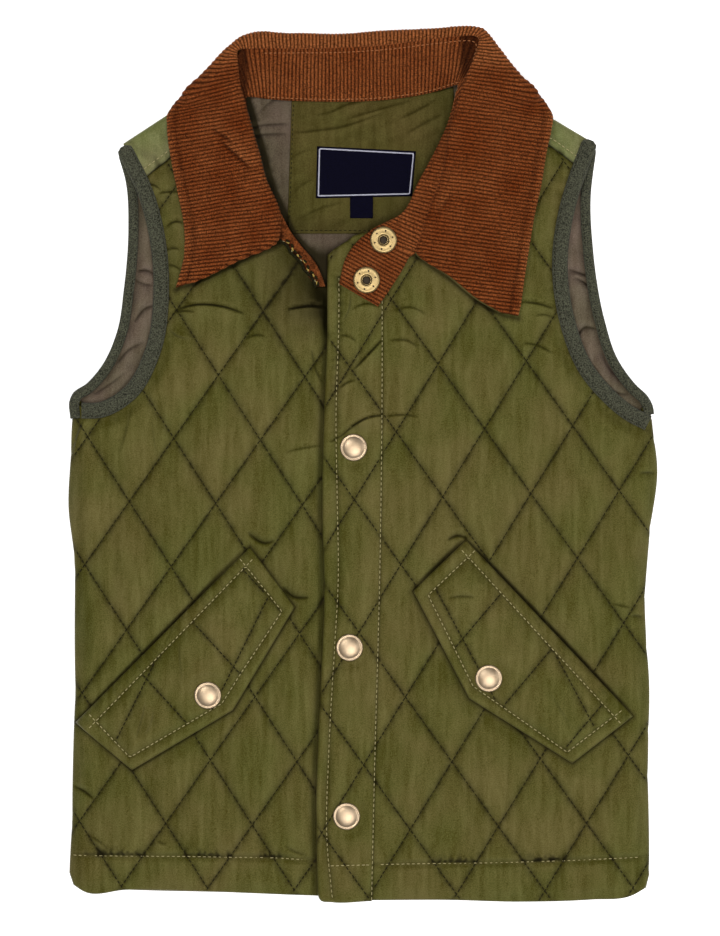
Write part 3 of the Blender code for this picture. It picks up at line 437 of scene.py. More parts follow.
def taffeta(name, warp, weft, gloss):
    """Nylon taffeta, plain woven from two shades of yarn. As painted light, slopes that face the hem
    take more of the lighter shade and slopes that face the collar more of the darker.

    It is streaked along the warp and drifts from green to brown in broad patches, and painted shade
    darkens it along stitches, creases and edges. The yarns are a fifth of a millimetre, and are drawn
    as a grain of half a millimetre to show."""
    material, tree, shader, place = new_material(name, {
        "Roughness": 0.5, "Specular IOR Level": 0.25, "Specular Tint": linear("#b3a066"),
        "Sheen Weight": gloss, "Sheen Roughness": 0.45, "Sheen Tint": linear("#a98f60"),
    })
    stretched = add_node(tree, "ShaderNodeVectorMath", {"operation": "MULTIPLY"}, {
        0: place, 1: (1 / (STREAK_WIDTH * MM), 1 / (STREAK_LENGTH * MM), 1 / (STREAK_LENGTH * MM)),
    })
    streaks = add_node(tree, "ShaderNodeTexNoise", {}, {
        "Vector": stretched.outputs[0], "Scale": 1.0, "Detail": 3.0, "Distortion": 0.3,
    })
    patches = add_node(tree, "ShaderNodeTexNoise", {}, {
        "Vector": place, "Scale": 1 / (PATCH_SIZE * MM), "Detail": 2.0,
    })
    grain = add_node(tree, "ShaderNodeTexNoise", {}, {
        "Vector": place, "Scale": 1 / (GRAIN_SIZE * MM), "Detail": 1.0,
    })
    # Painted light: the turn attribute, from the slope of the cloth, moves the colour towards the lighter
    # yarn on slopes that face the hem.
    turn = add_node(tree, "ShaderNodeAttribute", {"attribute_name": "turn"}, {})
    streaked = add_node(tree, "ShaderNodeMath", {"operation": "MULTIPLY_ADD"}, {
        0: streaks.outputs[0], 1: 2.0, 2: patches.outputs[0],
    })
    speckled = add_node(tree, "ShaderNodeMath", {"operation": "MULTIPLY_ADD"}, {
        0: grain.outputs[0], 1: 2.4, 2: streaked.outputs[0],
    })
    slope_lit_share = add_node(tree, "ShaderNodeMath", {"operation": "MULTIPLY_ADD"}, {
        0: turn.outputs["Fac"], 1: 0.45, 2: speckled.outputs[0],
    })
    share = add_node(tree, "ShaderNodeMapRange", {}, {
        "Value": slope_lit_share.outputs[0], "From Min": 1.9, "From Max": 3.5,
    })
    colour = add_node(tree, "ShaderNodeMix", {"data_type": "RGBA"}, {
        0: share.outputs[0], 6: linear(warp), 7: linear(weft),
    })
    drift = add_node(tree, "ShaderNodeMapRange", {}, {
        "Value": patches.outputs[0], "From Min": 0.35, "From Max": 0.65,
    })
    cast = add_node(tree, "ShaderNodeMix", {"data_type": "RGBA"}, {
        0: drift.outputs[0], 6: linear("#f5fff2"), 7: linear("#fff9fd"),
    })
    drifted = add_node(tree, "ShaderNodeMix", {"data_type": "RGBA", "blend_type": "MULTIPLY"}, {
        0: 1.0, 6: colour.outputs[2], 7: cast.outputs[2],
    })
    # Painted shade: the stored shade darkens the colour, nearly to black at full strength, in grooves,
    # creases and beside edges.
    painted_shade = add_node(tree, "ShaderNodeAttribute", {"attribute_name": "painted_shade"}, {})
    hollow = add_node(tree, "ShaderNodeMapRange", {}, {
        "Value": painted_shade.outputs["Fac"], "To Min": 1.0, "To Max": 0.06,
    })
    painted_shade_colour = add_node(tree, "ShaderNodeMix", {"data_type": "RGBA", "blend_type": "MULTIPLY"}, {
        0: 1.0, 6: drifted.outputs[2], 7: hollow.outputs[0],
    })
    tree.links.new(painted_shade_colour.outputs[2], shader.inputs["Base Color"])
    weave = add_node(tree, "ShaderNodeBump", {}, {
        "Height": grain.outputs[0], "Strength": 0.25, "Distance": 0.15 * MM,
    })
    creased = add_node(tree, "ShaderNodeBump", {}, {
        "Height": streaks.outputs[0], "Strength": 0.3, "Distance": 1.0 * MM,
        "Normal": weave.outputs[0],
    })
    tree.links.new(creased.outputs[0], shader.inputs["Normal"])
    return material


SLOPE_LIGHT_ACROSS = 0.6
SLOPE_LIGHT_UPWARD = -2.5


def mark_cloth(piece, painted_shade=None):
    """Stores which way the cloth slopes, for the painted light of its two yarns, and the painted shade along
    stitches, creases and edges.
    """
    mesh = piece.data
    normals = np.zeros(len(mesh.vertices) * 3, np.float32)
    mesh.vertex_normals.foreach_get("vector", normals)
    normals = normals.reshape(-1, 3)
    # Painted light: slopes that face the hem turn to the lighter yarn, slopes that face the collar to the
    # darker.
    turn = np.clip(SLOPE_LIGHT_ACROSS * normals[:, 0] + SLOPE_LIGHT_UPWARD * normals[:, 1], -1, 1)
    mesh.attributes.new("turn", "FLOAT", "POINT").data.foreach_set("value", turn.astype(np.float32))
    if painted_shade:
        places = np.zeros(len(mesh.vertices) * 3, np.float32)
        mesh.vertices.foreach_get("co", places)
        x, y, z = places.reshape(-1, 3).T.astype(float) / MM
        dark = np.clip(painted_shade(x, y), 0, 1).astype(np.float32)
        mesh.attributes.new("painted_shade", "FLOAT", "POINT").data.foreach_set("value", dark)


def sew_on(piece, slot, *nodes):
    """The piece lies still with the vest, and stands for the solids it names."""
    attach(piece, "root")
    if nodes:
        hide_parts(*nodes)


side_right = smooth_curve(SIDE_RIGHT, OUTLINE_STEP)
side_left = smooth_curve(SIDE_LEFT, OUTLINE_STEP)
back_arm_right = smooth_curve(ARMHOLE_BACK_RIGHT, OUTLINE_STEP)
back_arm_left = smooth_curve(ARMHOLE_BACK_LEFT, OUTLINE_STEP)
upper_back = [
    shifted(back_arm_left, -BOUND_EDGE)[back_arm_left[:, 1] > UNDERARM_LEFT[1] + UNDERARM_CLEAR][::-1],
    shifted(np.array(SHOULDER_LEFT), SHOULDER_CLEAR),
    smooth_curve(NECK_BACK, OUTLINE_STEP)[::-1],
    shifted(np.array(SHOULDER_RIGHT), -SHOULDER_CLEAR)[::-1],
    shifted(back_arm_right, BOUND_EDGE)[back_arm_right[:, 1] > UNDERARM_RIGHT[1] + UNDERARM_CLEAR],
]
back_outline = join(
    smooth_curve(HEM_BACK, OUTLINE_STEP),
    shifted(side_left[::-1], SIDE_TUCK),
    [UNDERARM_LEFT],
    *upper_back,
    [UNDERARM_RIGHT],
    shifted(side_right, SIDE_TUCK),
)
green_nylon = taffeta("green_nylon_taffeta", "#3d390f", "#635e35", 0.05)
back = cloth_panel(
    "back_shell", back_outline, lambda x, y: STITCH_PRESS * (1 - pillow(QUILT_BACK, x, y)) ** 4,
    level(BACK_WALL), BACK_STEPS, BACK_EDGE, green_nylon,
)
mark_cloth(back)
sew_on(back, "green_nylon", "back_panel")


# The lining of the back is a soft taupe taffeta, quilted to it. It shows in both armholes, where it
# puffs and puckers, and in the neck beside the facing.
LINING_LOW = 2.5
LINING_WALL = 1.2
LINING_STEPS = (2.0, 12.0)
LINING_EDGE = 0.5
LINING_PUFF = 1.5
LINING_FREE_X = 68.0
LINING_INSET = 8.5
LINING_FADE = 12.0
LINING_FREE_Y = 172.0
LINING_ARM_CLEAR = 4.0
LINING_ARM_FADE = 6.0
LINING_NECK_X = 62.0
LINING_DEEP_Y = 121.0
THINNEST = 0.3
Fold = namedtuple("Fold", "line height steep soft")
FOLD_STEP = 2.0
FOLD_DIP = 0.55
FULL_SHADE_FOLD_HEIGHT = 1.9
FULL_SHADE_FOLD_STEEP = 0.75
FOLD_SHADE_REACH = 0.65
RIDGE_FOOT = 0.6
LINING_FOLDS = [
    Fold([(111, 105.4), (116, 103.6), (121, 101.8)], -1.6, 0.8, 1.6),
    Fold([(114, 101), (118.5, 98.8), (123, 95.5)], -1.2, 0.8, 1.6),
    Fold([(113.5, 65), (120.3, 74), (126, 73)], -1.8, 0.8, 1.8),
    Fold([(122, 44.5), (134, 39.4), (143, 37.4)], -1.6, 0.8, 1.6),
    Fold([(128, 62), (133, 52), (140, 45)], -0.9, 1.0, 2.4),
    Fold([(-122, 104.5), (-117, 104.8), (-112.5, 102.4)], -1.6, 0.8, 1.6),
    Fold([(-124, 100), (-118.5, 97.4), (-113, 96.6)], -1.0, 0.8, 1.8),
    Fold([(-124, 76.5), (-117, 84.6), (-111, 85.8)], -1.6, 0.8, 1.8),
    Fold([(-133, 54.5), (-126, 62.4), (-118, 66)], -1.2, 0.8, 2.0),
    Fold([(-146, 37.2), (-136, 44), (-128, 50)], -0.9, 0.8, 2.0),
    Fold([(-62, 182), (-52, 183.6), (-40, 184.2)], -0.7, 0.7, 1.4),
    Fold([(-62, 177.2), (-50, 178.6), (-40, 178.4)], -0.7, 0.7, 1.4),
    Fold([(-56, 190), (-50, 196), (-42, 199)], -0.5, 0.7, 1.4),
]
NECK_DEEP = [(-64.3, 203.6), (-60, 189), (-55, 172.3), (-49.7, 152.8), (-42.2, 134.5), (-37.8, 125.3),
             (-31.9, 117.7), (-27, 113.4), (-22, 107)]
NECK_DEEP_REACH = 1.8


def fold_height(folds, x, y):
    """Height of a set of folds, each steep to the right of its line and soft to the left."""
    total = np.zeros(np.shape(x))
    for fold in folds:
        gap, side, share = nearest_on(smooth_curve(fold.line, FOLD_STEP), x, y)
        width = np.where(side > 0, fold.soft, fold.steep)
        dip = np.where((side > 0) | (fold.height < 0), 0, FOLD_DIP * np.exp(-((gap - 1.3) / 0.8) ** 2))
        total = total + fold.height * np.sin(math.pi * share) ** 0.7 * (np.exp(-(gap / width) ** 2) - dip)
    return total


def fold_painted_shade(folds, x, y):
    """Painted shade of folds: along a groove, or at the foot of a ridge's steep side."""
    total = np.zeros(np.shape(x))
    for fold in folds:
        gap, side, share = nearest_on(smooth_curve(fold.line, FOLD_STEP), x, y)
        foot = RIDGE_FOOT if fold.height > 0 else 0.0
        tight = min(1, abs(fold.height) / FULL_SHADE_FOLD_HEIGHT) * min(1, FULL_SHADE_FOLD_STEEP / fold.steep) ** 2
        depth = tight * np.sin(math.pi * share) ** 0.5
        total = np.maximum(total, depth * np.exp(-((gap * side + foot) / FOLD_SHADE_REACH) ** 2))
    return total


def fold_lines(folds):
    """The lines of a set of folds, for a panel's creases."""
    return [smooth_curve(fold.line, CREASE_STEP) for fold in folds]


def shade_along(line, x, y, strength, reach):
    """Shade that is strongest on a line and fades out beside it."""
    return strength * np.exp(-(gap_to(line, x, y) / reach) ** 2)


def quilt_painted_shade(quilt, x, y):
    """Painted shade along the rows of quilting, uneven along them."""
    one, other = lattice(quilt, x, y)
    gap = np.minimum(np.abs(one - np.round(one)), np.abs(other - np.round(other))) * QUILT_ROW_GAP
    uneven = np.clip(1 + 0.7 * ripple(x, y, 1.6, 1.6, 12), 0.2, 2)
    return uneven * (0.22 * np.exp(-(gap / 0.9) ** 2) + 0.26 * np.exp(-(gap / 2.2) ** 2))


def lining_top(x, y):
    """Top of the lining, which puffs only where it is free of the fronts and the facing."""
    free = ramp((np.abs(x) - LINING_FREE_X) / LINING_FADE) * ramp((LINING_FREE_Y - y) / LINING_FADE)
    for armhole in (back_arm_right, back_arm_left):
        free = free * ramp((gap_to(armhole, x, y) - LINING_ARM_CLEAR) / LINING_ARM_FADE)
    for side in (side_right, side_left):
        free = free * ramp((gap_to(side, x, y) - LINING_INSET) / LINING_FADE)
    puff = LINING_PUFF * pillow(QUILT_BACK, x, y) + 0.5 * ripple(x, y, 4, 7, 5)
    neck_fold = 0.25 * ripple(x, y, 14, 5, 6)
    rise = LINING_WALL + free * puff + neck_fold + fold_height(LINING_FOLDS, x, y)
    return LINING_LOW + np.maximum(rise, THINNEST)


def neck_shade(x, y):
    """Deep shade under the edge of the collar's right side."""
    gap = gap_to(NECK_DEEP, x, y) / NECK_DEEP_REACH
    return np.exp(-gap ** 8) + 0.2 * np.exp(-gap / 2)


def lining_painted_shade(x, y):
    """Painted shade of the lining, in its folds, beside the armhole bindings and deep in the neck."""
    neck = 0.25 * ramp((LINING_NECK_X - np.abs(x)) / 10) + neck_shade(x, y)
    neck = neck + 0.9 * ramp((LINING_DEEP_Y - y) / 12) * (np.abs(x) < LINING_NECK_X - 2)
    edge = np.zeros(np.shape(x))
    for armhole in (back_arm_right, back_arm_left):
        edge = edge + 0.5 * np.exp(-((gap_to(armhole, x, y) - 5.5) / 2.5) ** 2)
    return np.maximum(neck, edge) + fold_painted_shade(LINING_FOLDS, x, y)


lining_outline = join(
    shifted(smooth_curve(HEM_BACK[1:-1], OUTLINE_STEP), LINING_INSET),
    shifted(side_left[::-1][8:], LINING_INSET),
    *upper_back,
    shifted(side_right[:-8], LINING_INSET),
)
taupe_lining = taffeta("taupe_lining_taffeta", "#4c3f35", "#706357", 0.06)
lining = cloth_panel(
    "taupe_back_lining", lining_outline, level(LINING_LOW), lining_top, LINING_STEPS, LINING_EDGE,
    taupe_lining, [smooth_curve(NECK_DEEP, CREASE_STEP), *fold_lines(LINING_FOLDS)],
)
mark_cloth(lining, lining_painted_shade)
sew_on(lining, "taupe_lining", "back_lining")


# The neck facing is a plain piece of the green nylon, turned under and stitched down inside the
# back neck. It lies a little loose, in fine slanting folds.
FACING = [(-41, 124.5), (50, 124.5), (49, 204), (40, 201.5), (10.8, 197.4), (-38.5, 197)]
FACING_LOW = 4.0
FACING_WALL = 1.0
FACING_STEPS = (1.3, 12.0)
FACING_EDGE = 0.6
LABEL_CENTRE = (1.2, 157.5)
LABEL_HALF = (27.0, 13.0)
FACING_STITCH = [[(-37.6, 195), (-39.9, 126.2)], [(-39.5, 126.2), (45, 126.2)]]
FACING_LEFT_SHADE = [(50, 190), (30, 150), (4, 128)]
FACING_FOLDS = [
    Fold([(12, 189.5), (-1.6, 184.7), (-10, 182), (-24, 179.8), (-40, 178.2)], 0.6, 0.7, 3.0),
    Fold([(26, 196), (12, 192), (-2, 188), (-9, 186)], 0.5, 0.7, 2.4),
    Fold([(2, 195.5), (-8, 194), (-18, 189.5), (-26, 188)], 0.5, 0.6, 2.4),
    Fold([(44, 189), (34, 184), (24, 178)], 0.5, 0.8, 3.0),
    Fold([(40, 197), (32, 192), (20, 186)], 0.6, 0.6, 2.6),
    Fold([(-27, 170), (-33, 168), (-40, 164)], 0.3, 0.9, 2.5),
    Fold([(-26, 154), (-33, 150), (-40, 143)], 0.35, 0.9, 2.5),
    Fold([(-10, 141), (-22, 138), (-38, 130)], 0.4, 0.9, 3.0),
]


def facing_top(x, y):
    """Top of the facing with its folds."""
    waves = 0.35 * ripple(x - 1.6 * y, y, 7, 12, 8) + 0.15 * ripple(x, y, 3, 3, 9)
    beyond_x = np.abs(x - LABEL_CENTRE[0]) - LABEL_HALF[0]
    beyond_y = np.abs(y - LABEL_CENTRE[1]) - LABEL_HALF[1]
    beside_label = ramp(np.maximum(beyond_x, beyond_y) / 4)
    rise = FACING_WALL + (waves + fold_height(FACING_FOLDS, x, y)) * (0.15 + 0.85 * beside_label)
    return FACING_LOW + np.maximum(rise, THINNEST)


def facing_painted_shade(x, y):
    """Painted shade of the facing, in its folds and towards the collar and the deep of the neck."""
    left_shade = shade_along(FACING_LEFT_SHADE, x, y, 0.15, 7)
    lower = 0.25 * ramp((140 - y) / 14)
    return 0.6 * fold_painted_shade(FACING_FOLDS, x, y) + left_shade + lower + neck_shade(x, y)


facing_outline = join(FACING)
# Painted shade: the facing is drawn in a darker copy of the green nylon, as the shade under the collar.
shaded_facing_nylon = taffeta("shaded_facing_nylon_taffeta", "#332c0c", "#534b27", 0.05)
facing = cloth_panel(
    "nylon_neck_facing", facing_outline, level(FACING_LOW), facing_top, FACING_STEPS, FACING_EDGE,
    shaded_facing_nylon, [smooth_curve(NECK_DEEP, CREASE_STEP), *fold_lines(FACING_FOLDS)],
)
mark_cloth(facing, facing_painted_shade)
sew_on(facing, "green_nylon", "neck_facing")


# Sewing is done with small stitches of spun thread, each a short arch that dips into the cloth at
# both ends. Two rows here hold the right and the lower edge of the facing.
STITCH_PITCH = 2.8
STITCH_LENGTH = 1.9
THREAD = 0.5
STITCH_SIDES = 6
STITCH_SLANT = 0.05
STITCH_LINE_STEP = 2.0
PLY_SIZE = 0.5
StitchRing = namedtuple("StitchRing", "share girth lift")
STITCH_RINGS = [
    StitchRing(-0.5, 0.3, -0.5),
    StitchRing(-0.36, 0.95, 0.12),
    StitchRing(0.0, 1.0, 0.3),
    StitchRing(0.36, 0.95, 0.12),
    StitchRing(0.5, 0.3, -0.5),
]


def thread_material(name, colour):
    """Spun polyester thread: matt, with the ply as a light and dark twist, drawn twice as coarse."""
    material, tree, shader, place = new_material(name, {"Roughness": 0.75, "Specular IOR Level": 0.08})
    ply = add_node(tree, "ShaderNodeTexNoise", {}, {"Vector": place, "Scale": 1 / (PLY_SIZE * MM)})
    shaded = add_node(tree, "ShaderNodeMix", {"data_type": "RGBA"}, {
        0: ply.outputs[0], 6: [c * 0.6 for c in linear(colour)[:3]] + [1.0], 7: linear(colour),
    })
    tree.links.new(shaded.outputs[2], shader.inputs["Base Color"])
    return material


def sew(name, lines, surface, material, slot,
        pitch=STITCH_PITCH, length=STITCH_LENGTH, thread=THREAD, keep=None):
    """Rows of stitches along lines on a surface, sewn on; the slot is not used."""
    centres, directions = [], []
    for line in lines:
        line = np.asarray(line, float)
        marks = np.concatenate([[0], np.cumsum(np.linalg.norm(np.diff(line, axis=0), axis=1))])
        places = np.arange(pitch / 2, marks[-1], pitch)
        behind, ahead = (
            np.column_stack([np.interp(places + reach, marks, line[:, k]) for k in (0, 1)])
            for reach in (-length / 2, length / 2)
        )
        centres.append((behind + ahead) / 2)
        directions.append((ahead - behind) / np.linalg.norm(ahead - behind, axis=1)[:, None])
    centres, directions = np.vstack(centres), np.vstack(directions)
    if keep is not None:
        kept = keep(centres[:, 0], centres[:, 1])
        centres, directions = centres[kept], directions[kept]
    slant = np.random.default_rng(len(centres)).normal(0, STITCH_SLANT, len(centres))
    directions = directions + slant[:, None] * np.column_stack([-directions[:, 1], directions[:, 0]])
    shares, girths, lifts = np.array(STITCH_RINGS).T * np.array([[1], [thread / 2], [thread]])
    places = centres[:, None] + directions[:, None] * (shares * length)[:, None]
    heights = surface(places[..., 0], places[..., 1]) + lifts
    angles = np.arange(STITCH_SIDES) * 2 * math.pi / STITCH_SIDES
    sideways = np.column_stack([-directions[:, 1], directions[:, 0]])[:, None, None]
    spread = girths[None, :, None] * np.cos(angles)
    points = np.zeros((len(centres), len(shares), STITCH_SIDES, 3))
    points[..., :2] = places[:, :, None] + sideways * spread[..., None]
    points[..., 2] = heights[:, :, None] + girths[None, :, None] * np.sin(angles)
    ring = np.arange(len(shares) * STITCH_SIDES).reshape(len(shares), STITCH_SIDES)
    turned_ring = np.roll(ring, -1, axis=1)
    sides = np.stack([ring[:-1], turned_ring[:-1], turned_ring[1:], ring[1:]], axis=-1).reshape(-1, 4)
    starts = np.arange(len(centres)) * ring.size
    faces = (starts[:, None, None] + sides).reshape(-1, 4).tolist()
    faces += (starts[:, None] + ring[0][::-1]).tolist() + (starts[:, None] + ring[-1]).tolist()
    stitches = make_piece(name, points.reshape(-1, 3), faces, material)
    sew_on(stitches, slot)
    return stitches


dark_thread = thread_material("dark_olive_thread", "#211e0b")
cream_thread = thread_material("khaki_cream_thread", "#b3a777")
facing_stitches = sew(
    "facing_stitches",
    [straight(row, STITCH_LINE_STEP) for row in FACING_STITCH],
    facing_top, dark_thread, "green_nylon", 2.6, 1.6, 0.45,
)


# The label is woven navy satin with a plain silver border, sewn flat on the facing. The size tab is a
# small loop of the same satin caught under its lower edge.
LABEL = [(-25.4, 143.6), (26.5, 144.7), (28.6, 169), (-24.8, 171.7)]
SIZE_TAB = [(-7, 132.8), (5.4, 132.8), (5.4, 144.4), (-7, 144.2)]
LABEL_WALL = 0.6
TAB_WALL = 0.54
LABEL_STEPS = (1.2, 8.0)
TAB_STEPS = (1.2, 6.0)
LABEL_EDGE = 0.4
LABEL_LIFT = 0.25
BORDER_INSET = 1.3
FLOAT_LENGTH = 1.4
FLOAT_WIDTH = 0.6

# The satin's floats are a tenth of a millimetre wide, and drawn coarser. They give it a dull, close grain.
satin, satin_tree, satin_shader, satin_place = new_material("navy_label_satin", {
    "Roughness": 0.6, "Specular IOR Level": 0.03,
})
floats = add_node(satin_tree, "ShaderNodeVectorMath", {"operation": "MULTIPLY"}, {
    0: satin_place, 1: (1 / (FLOAT_LENGTH * MM), 1 / (FLOAT_WIDTH * MM), 1.0),
})
satin_noise = add_node(satin_tree, "ShaderNodeTexNoise", {}, {
    "Vector": floats.outputs[0], "Scale": 1.0, "Detail": 1.0,
})
satin_colour = add_node(satin_tree, "ShaderNodeMix", {"data_type": "RGBA"}, {
    0: satin_noise.outputs[0], 6: linear("#020109"), 7: linear("#07061c"),
})
satin_tree.links.new(satin_colour.outputs[2], satin_shader.inputs["Base Color"])
satin_bump = add_node(satin_tree, "ShaderNodeBump", {}, {
    "Height": satin_noise.outputs[0], "Strength": 0.3, "Distance": 0.1 * MM,
})
satin_tree.links.new(satin_bump.outputs[0], satin_shader.inputs["Normal"])


def label_low(x, y):
    """Underside of the label, which follows the facing's broad waves."""
    return np.maximum(facing_top(x, y), FACING_LOW + FACING_WALL) + LABEL_LIFT


def label_top(x, y):
    """Top of the label."""
    return label_low(x, y) + LABEL_WALL


label_outline = join(LABEL)
label = cloth_panel("satin_label", label_outline, label_low, label_top, LABEL_STEPS, LABEL_EDGE, satin)
sew_on(label, "navy_satin", "neck_label")
tab_outline = join(SIZE_TAB)
size_tab = cloth_panel(
    "satin_size_tab", tab_outline, label_low, lambda x, y: label_low(x, y) + TAB_WALL, TAB_STEPS,
    LABEL_EDGE, satin,
)
sew_on(size_tab, "navy_satin", "size_tab")

silver_thread = thread_material("silver_label_thread", "#c9c8d6")
label_centre = np.mean(LABEL, axis=0)
reach = np.abs(np.array(LABEL) - label_centre)
border = label_centre + (np.array(LABEL) - label_centre) * (1 - BORDER_INSET / reach)
label_border = sew("label_border", [straight(looped(border), 1.0)], label_top, silver_thread, "navy_satin",
                   0.75, 1.0, 0.8)


# The right front is quilted nylon over wadding. It lies on the lining, comes down to the back at its
# side seam and runs on under the placket. The stitch lines pull it into puffs and small puckers.
HEM_RIGHT = [(-156.5, -227.5), (-150, -231.3), (-128, -230), (-80, -231), (-32, -233), (-1, -234)]
ARMHOLE_FRONT_RIGHT = [(-133.4, 169.6), (-121, 143.5), (-114.5, 115.5), (-113.4, 92), (-117.7, 62),
                       (-129.5, 41), (-143, 33.4), (-152, 33.2)]
YOKE_SEAM_RIGHT = [(-121.6, 151.6), (-103.5, 165.5), (-88, 176), (-72.5, 186.7)]
NECK_RIGHT = [(-72.5, 186.7), (-61.5, 171), (-55.5, 152), (-50, 133), (-38, 114), (-27.5, 104), (-20.5, 97)]
PLACKET_EDGE = [(-19.4, 99), (-19.4, 70), (-21, 30), (-22.1, -25), (-21, -72), (-22.7, -114),
                (-25.4, -188), (-24.6, -232)]
PLACKET_SEAM = [(10.6, 127.5), (10.5, 26), (9.2, -66), (6.8, -154), (4.9, -235.5)]
HEM_STITCH_RIGHT = [(-157, -211.3), (-132.6, -211.6), (-97.5, -211.8), (-70.7, -212.3), (-44.8, -212.8),
                    (-25.2, -214.4), (-10, -215.4)]
FLAP_RIGHT = [(-155.4, -139.6), (-124.7, -165.2), (-70.2, -132.8), (-36.9, -77.2), (-61, -44.8)]
QUILT_RIGHT = {"x": -79.5, "y": -21.2, "width": 46.7, "height": 69.3, "lean": 1.2}
FRONT_LOW = 5.4
FRONT_WALL = 1.8
FRONT_PUFF = 2.8
PUCKER_REACH = 3.0
FRONT_STEPS = (1.5, 14.0)
FRONT_EDGE = 1.5
SIDE_LOW = 2.5
SIDE_DROP = 8.0
CROWN_RIGHT = 2.0
BINDING_WIDTH = 8.6
FLAP_PRESS = 0.3
FLAP_PRESS_REACH = 9.0
SIDE_FADE = 12.0
ARM_FADE = 7.0
HEM_FADE = 7.0
YOKE_FADE = 6.0
NECK_FADE = 12.0
CHEST_Y = 80.0
CHEST_FADE = 40.0
CHEST_FLATTER = 0.45
ARM_DRAW = 0.4
FLAP_SHADE = 0.85
FLAP_SHADE_REACH = 1.4
LEAF_SHADE = 0.8
QUILTING_PITCH = 2.7
QUILTING_THREAD = 0.58
Front = namedtuple(
    "Front", "side arm hem yoke_seam neck quilt hem_stitch gathers flap leaf_edge leaf_reach folds seed"
)
ARM_SEED = 8
Gather = namedtuple("Gather", "x reach")
GATHERS_RIGHT = [Gather(-133, 17), Gather(-84, 15), Gather(-50, 7)]
LEAF_EDGE_RIGHT = [(-45, 120), (-66, 109.4), (-85, 99.8), (-101, 94)]
LEAF_REACH_RIGHT = 1.7
UNDER_PLACKET_TOP = 86.0
UNDER_PLACKET_BOTTOM = -226.0
UNDER_PLACKET_INSET = 4.0
HEM_ROW_RIGHT = (-160.0, -28.0)
LONG_STITCH_STEP = 3.0
RIGHT_FOLDS = [
    Fold([(-64, 80.5), (-75, 84.2), (-90, 85.4), (-103, 82)], 1.9, 0.5, 5.0),
    Fold([(-90.5, 81.4), (-97, 82), (-103.5, 80.6)], 1.0, 0.5, 2.5),
    Fold([(-17, 83.4), (-29, 84.6), (-41, 82.8)], 2.6, 0.6, 5.0),
    Fold([(-99, 146.6), (-105, 146.4), (-111, 145.6)], 1.2, 0.5, 2.4),
    Fold([(-109, 146.4), (-112, 149.6), (-117, 151)], 0.9, 0.5, 2.0),
    Fold([(-97, 129.6), (-101, 130.4), (-106, 128)], 1.2, 0.5, 2.4),
    Fold([(-99, 115.4), (-103, 116), (-106.5, 115)], 1.0, 0.5, 2.0),
    Fold([(-98.5, 104), (-102.5, 106.6), (-105.5, 107)], 0.9, 0.5, 2.0),
    Fold([(-23, 43.5), (-26.5, 52), (-28.4, 62)], 1.0, 0.7, 3.0),
    Fold([(-22, 9.4), (-32, 8), (-42, 5.7)], 0.6, 0.8, 3.0),
    Fold([(-149.6, 25.4), (-154, 15), (-156.6, 4)], 0.8, 0.7, 1.4),
    Fold([(-104.5, 73), (-100, 69.6), (-93, 68)], 0.8, 0.6, 2.4),
    Fold([(-52.9, 68.6), (-58, 69), (-63.7, 67)], 0.8, 0.6, 3.0),
    Fold([(-124.2, 30.8), (-127, 18), (-131.2, 4.9)], 0.9, 1.6, 4.0),
    Fold([(-113.4, 27.5), (-112.4, 16), (-109.9, 2)], 0.8, 1.6, 4.0),
    Fold([(-62.4, -36.6), (-57.9, -40.5), (-53.5, -42.6), (-47, -41)], -2.6, 0.7, 1.5),
    Fold([(-43.5, -66), (-37.5, -71.6), (-29, -72.2)], -2.6, 0.7, 1.4),
    Fold([(-156.5, -174), (-151, -176.5), (-145, -181)], -1.8, 0.7, 1.5),
    Fold([(-106, -206), (-112, -203.5), (-114, -199)], 1.0, 0.9, 2.4),
    Fold([(-138, -208), (-143, -204), (-150, -200)], 1.0, 0.8, 2.4),
    Fold([(-42, -206), (-37, -209), (-30, -211.5)], -1.0, 0.8, 1.6),
    Fold([(-153, -137.4), (-130, -113.4), (-100, -82.6), (-63, -44.2)], -1.4, 0.7, 0.7),
]


def side_height(side, x, y):
    """Underside of a front, which comes down to the back at the side seam."""
    share = np.clip(side_gap(side, x, y) / SIDE_DROP, 0, 1)
    return SIDE_LOW + (FRONT_LOW - SIDE_LOW) * np.sin(math.pi / 2 * share)


def side_gap(side, x, y):
    """How far places lie inside a side seam."""
    order = np.argsort(side[:, 1])
    return np.abs(x - np.interp(y, side[order, 1], side[order, 0]))


def placket_edge_x(y):
    """Place of the placket's free edge at a height on the front."""
    return np.interp(-np.asarray(y), -placket_edge[:, 1], placket_edge[:, 0])


def front_right_low(x, y):
    """Underside of the right front, which swells between its side seam and the placket."""
    gap = side_gap(side_right, x, y)
    rest = np.clip(placket_edge_x(y) - 3 - x, 0, None)
    swell = CROWN_RIGHT * np.sin(math.pi * gap / (gap + rest + MM)) * (1 - ramp((y - 60) / 40))
    return side_height(side_right, x, y) + swell


def pressed_by(outline, x, y):
    """Share of the puff that is left under and near a flap."""
    gap = np.where(inside(outline, x, y), 0, gap_to(looped(outline), x, y))
    return FLAP_PRESS + (1 - FLAP_PRESS) * ramp(gap / FLAP_PRESS_REACH)


def puckers(quilt, x, y, seed):
    """Small creases that each row of stitches draws across itself."""
    total = np.zeros(np.shape(x))
    one, other = lattice(quilt, x, y)
    for across, along in ((one, other), (other, one)):
        row = np.round(across)
        gap = np.abs(across - row) * QUILT_ROW_GAP
        seed += 1
        total = total + ripple(along * QUILT_ROW_UNIT, row * 31, 1.5, 5, seed) * np.exp(-gap / PUCKER_REACH)
    return total


def drawn_by(line, start, x, y, seed):
    """Puckers that fan out from a sewn edge, from a distance of it onwards."""
    gap, side, share = nearest_on(line, x, y)
    along = share * len(line) * OUTLINE_STEP
    return ripple(along, gap, 2.2, 9, seed) * np.exp(-np.clip(gap - start, 0, None) / 4.5)


def gathered(front, x):
    """How strongly the hem of a front is gathered at places along it."""
    return sum(np.exp(-((x - gather.x) / gather.reach) ** 4) for gather in front.gathers)


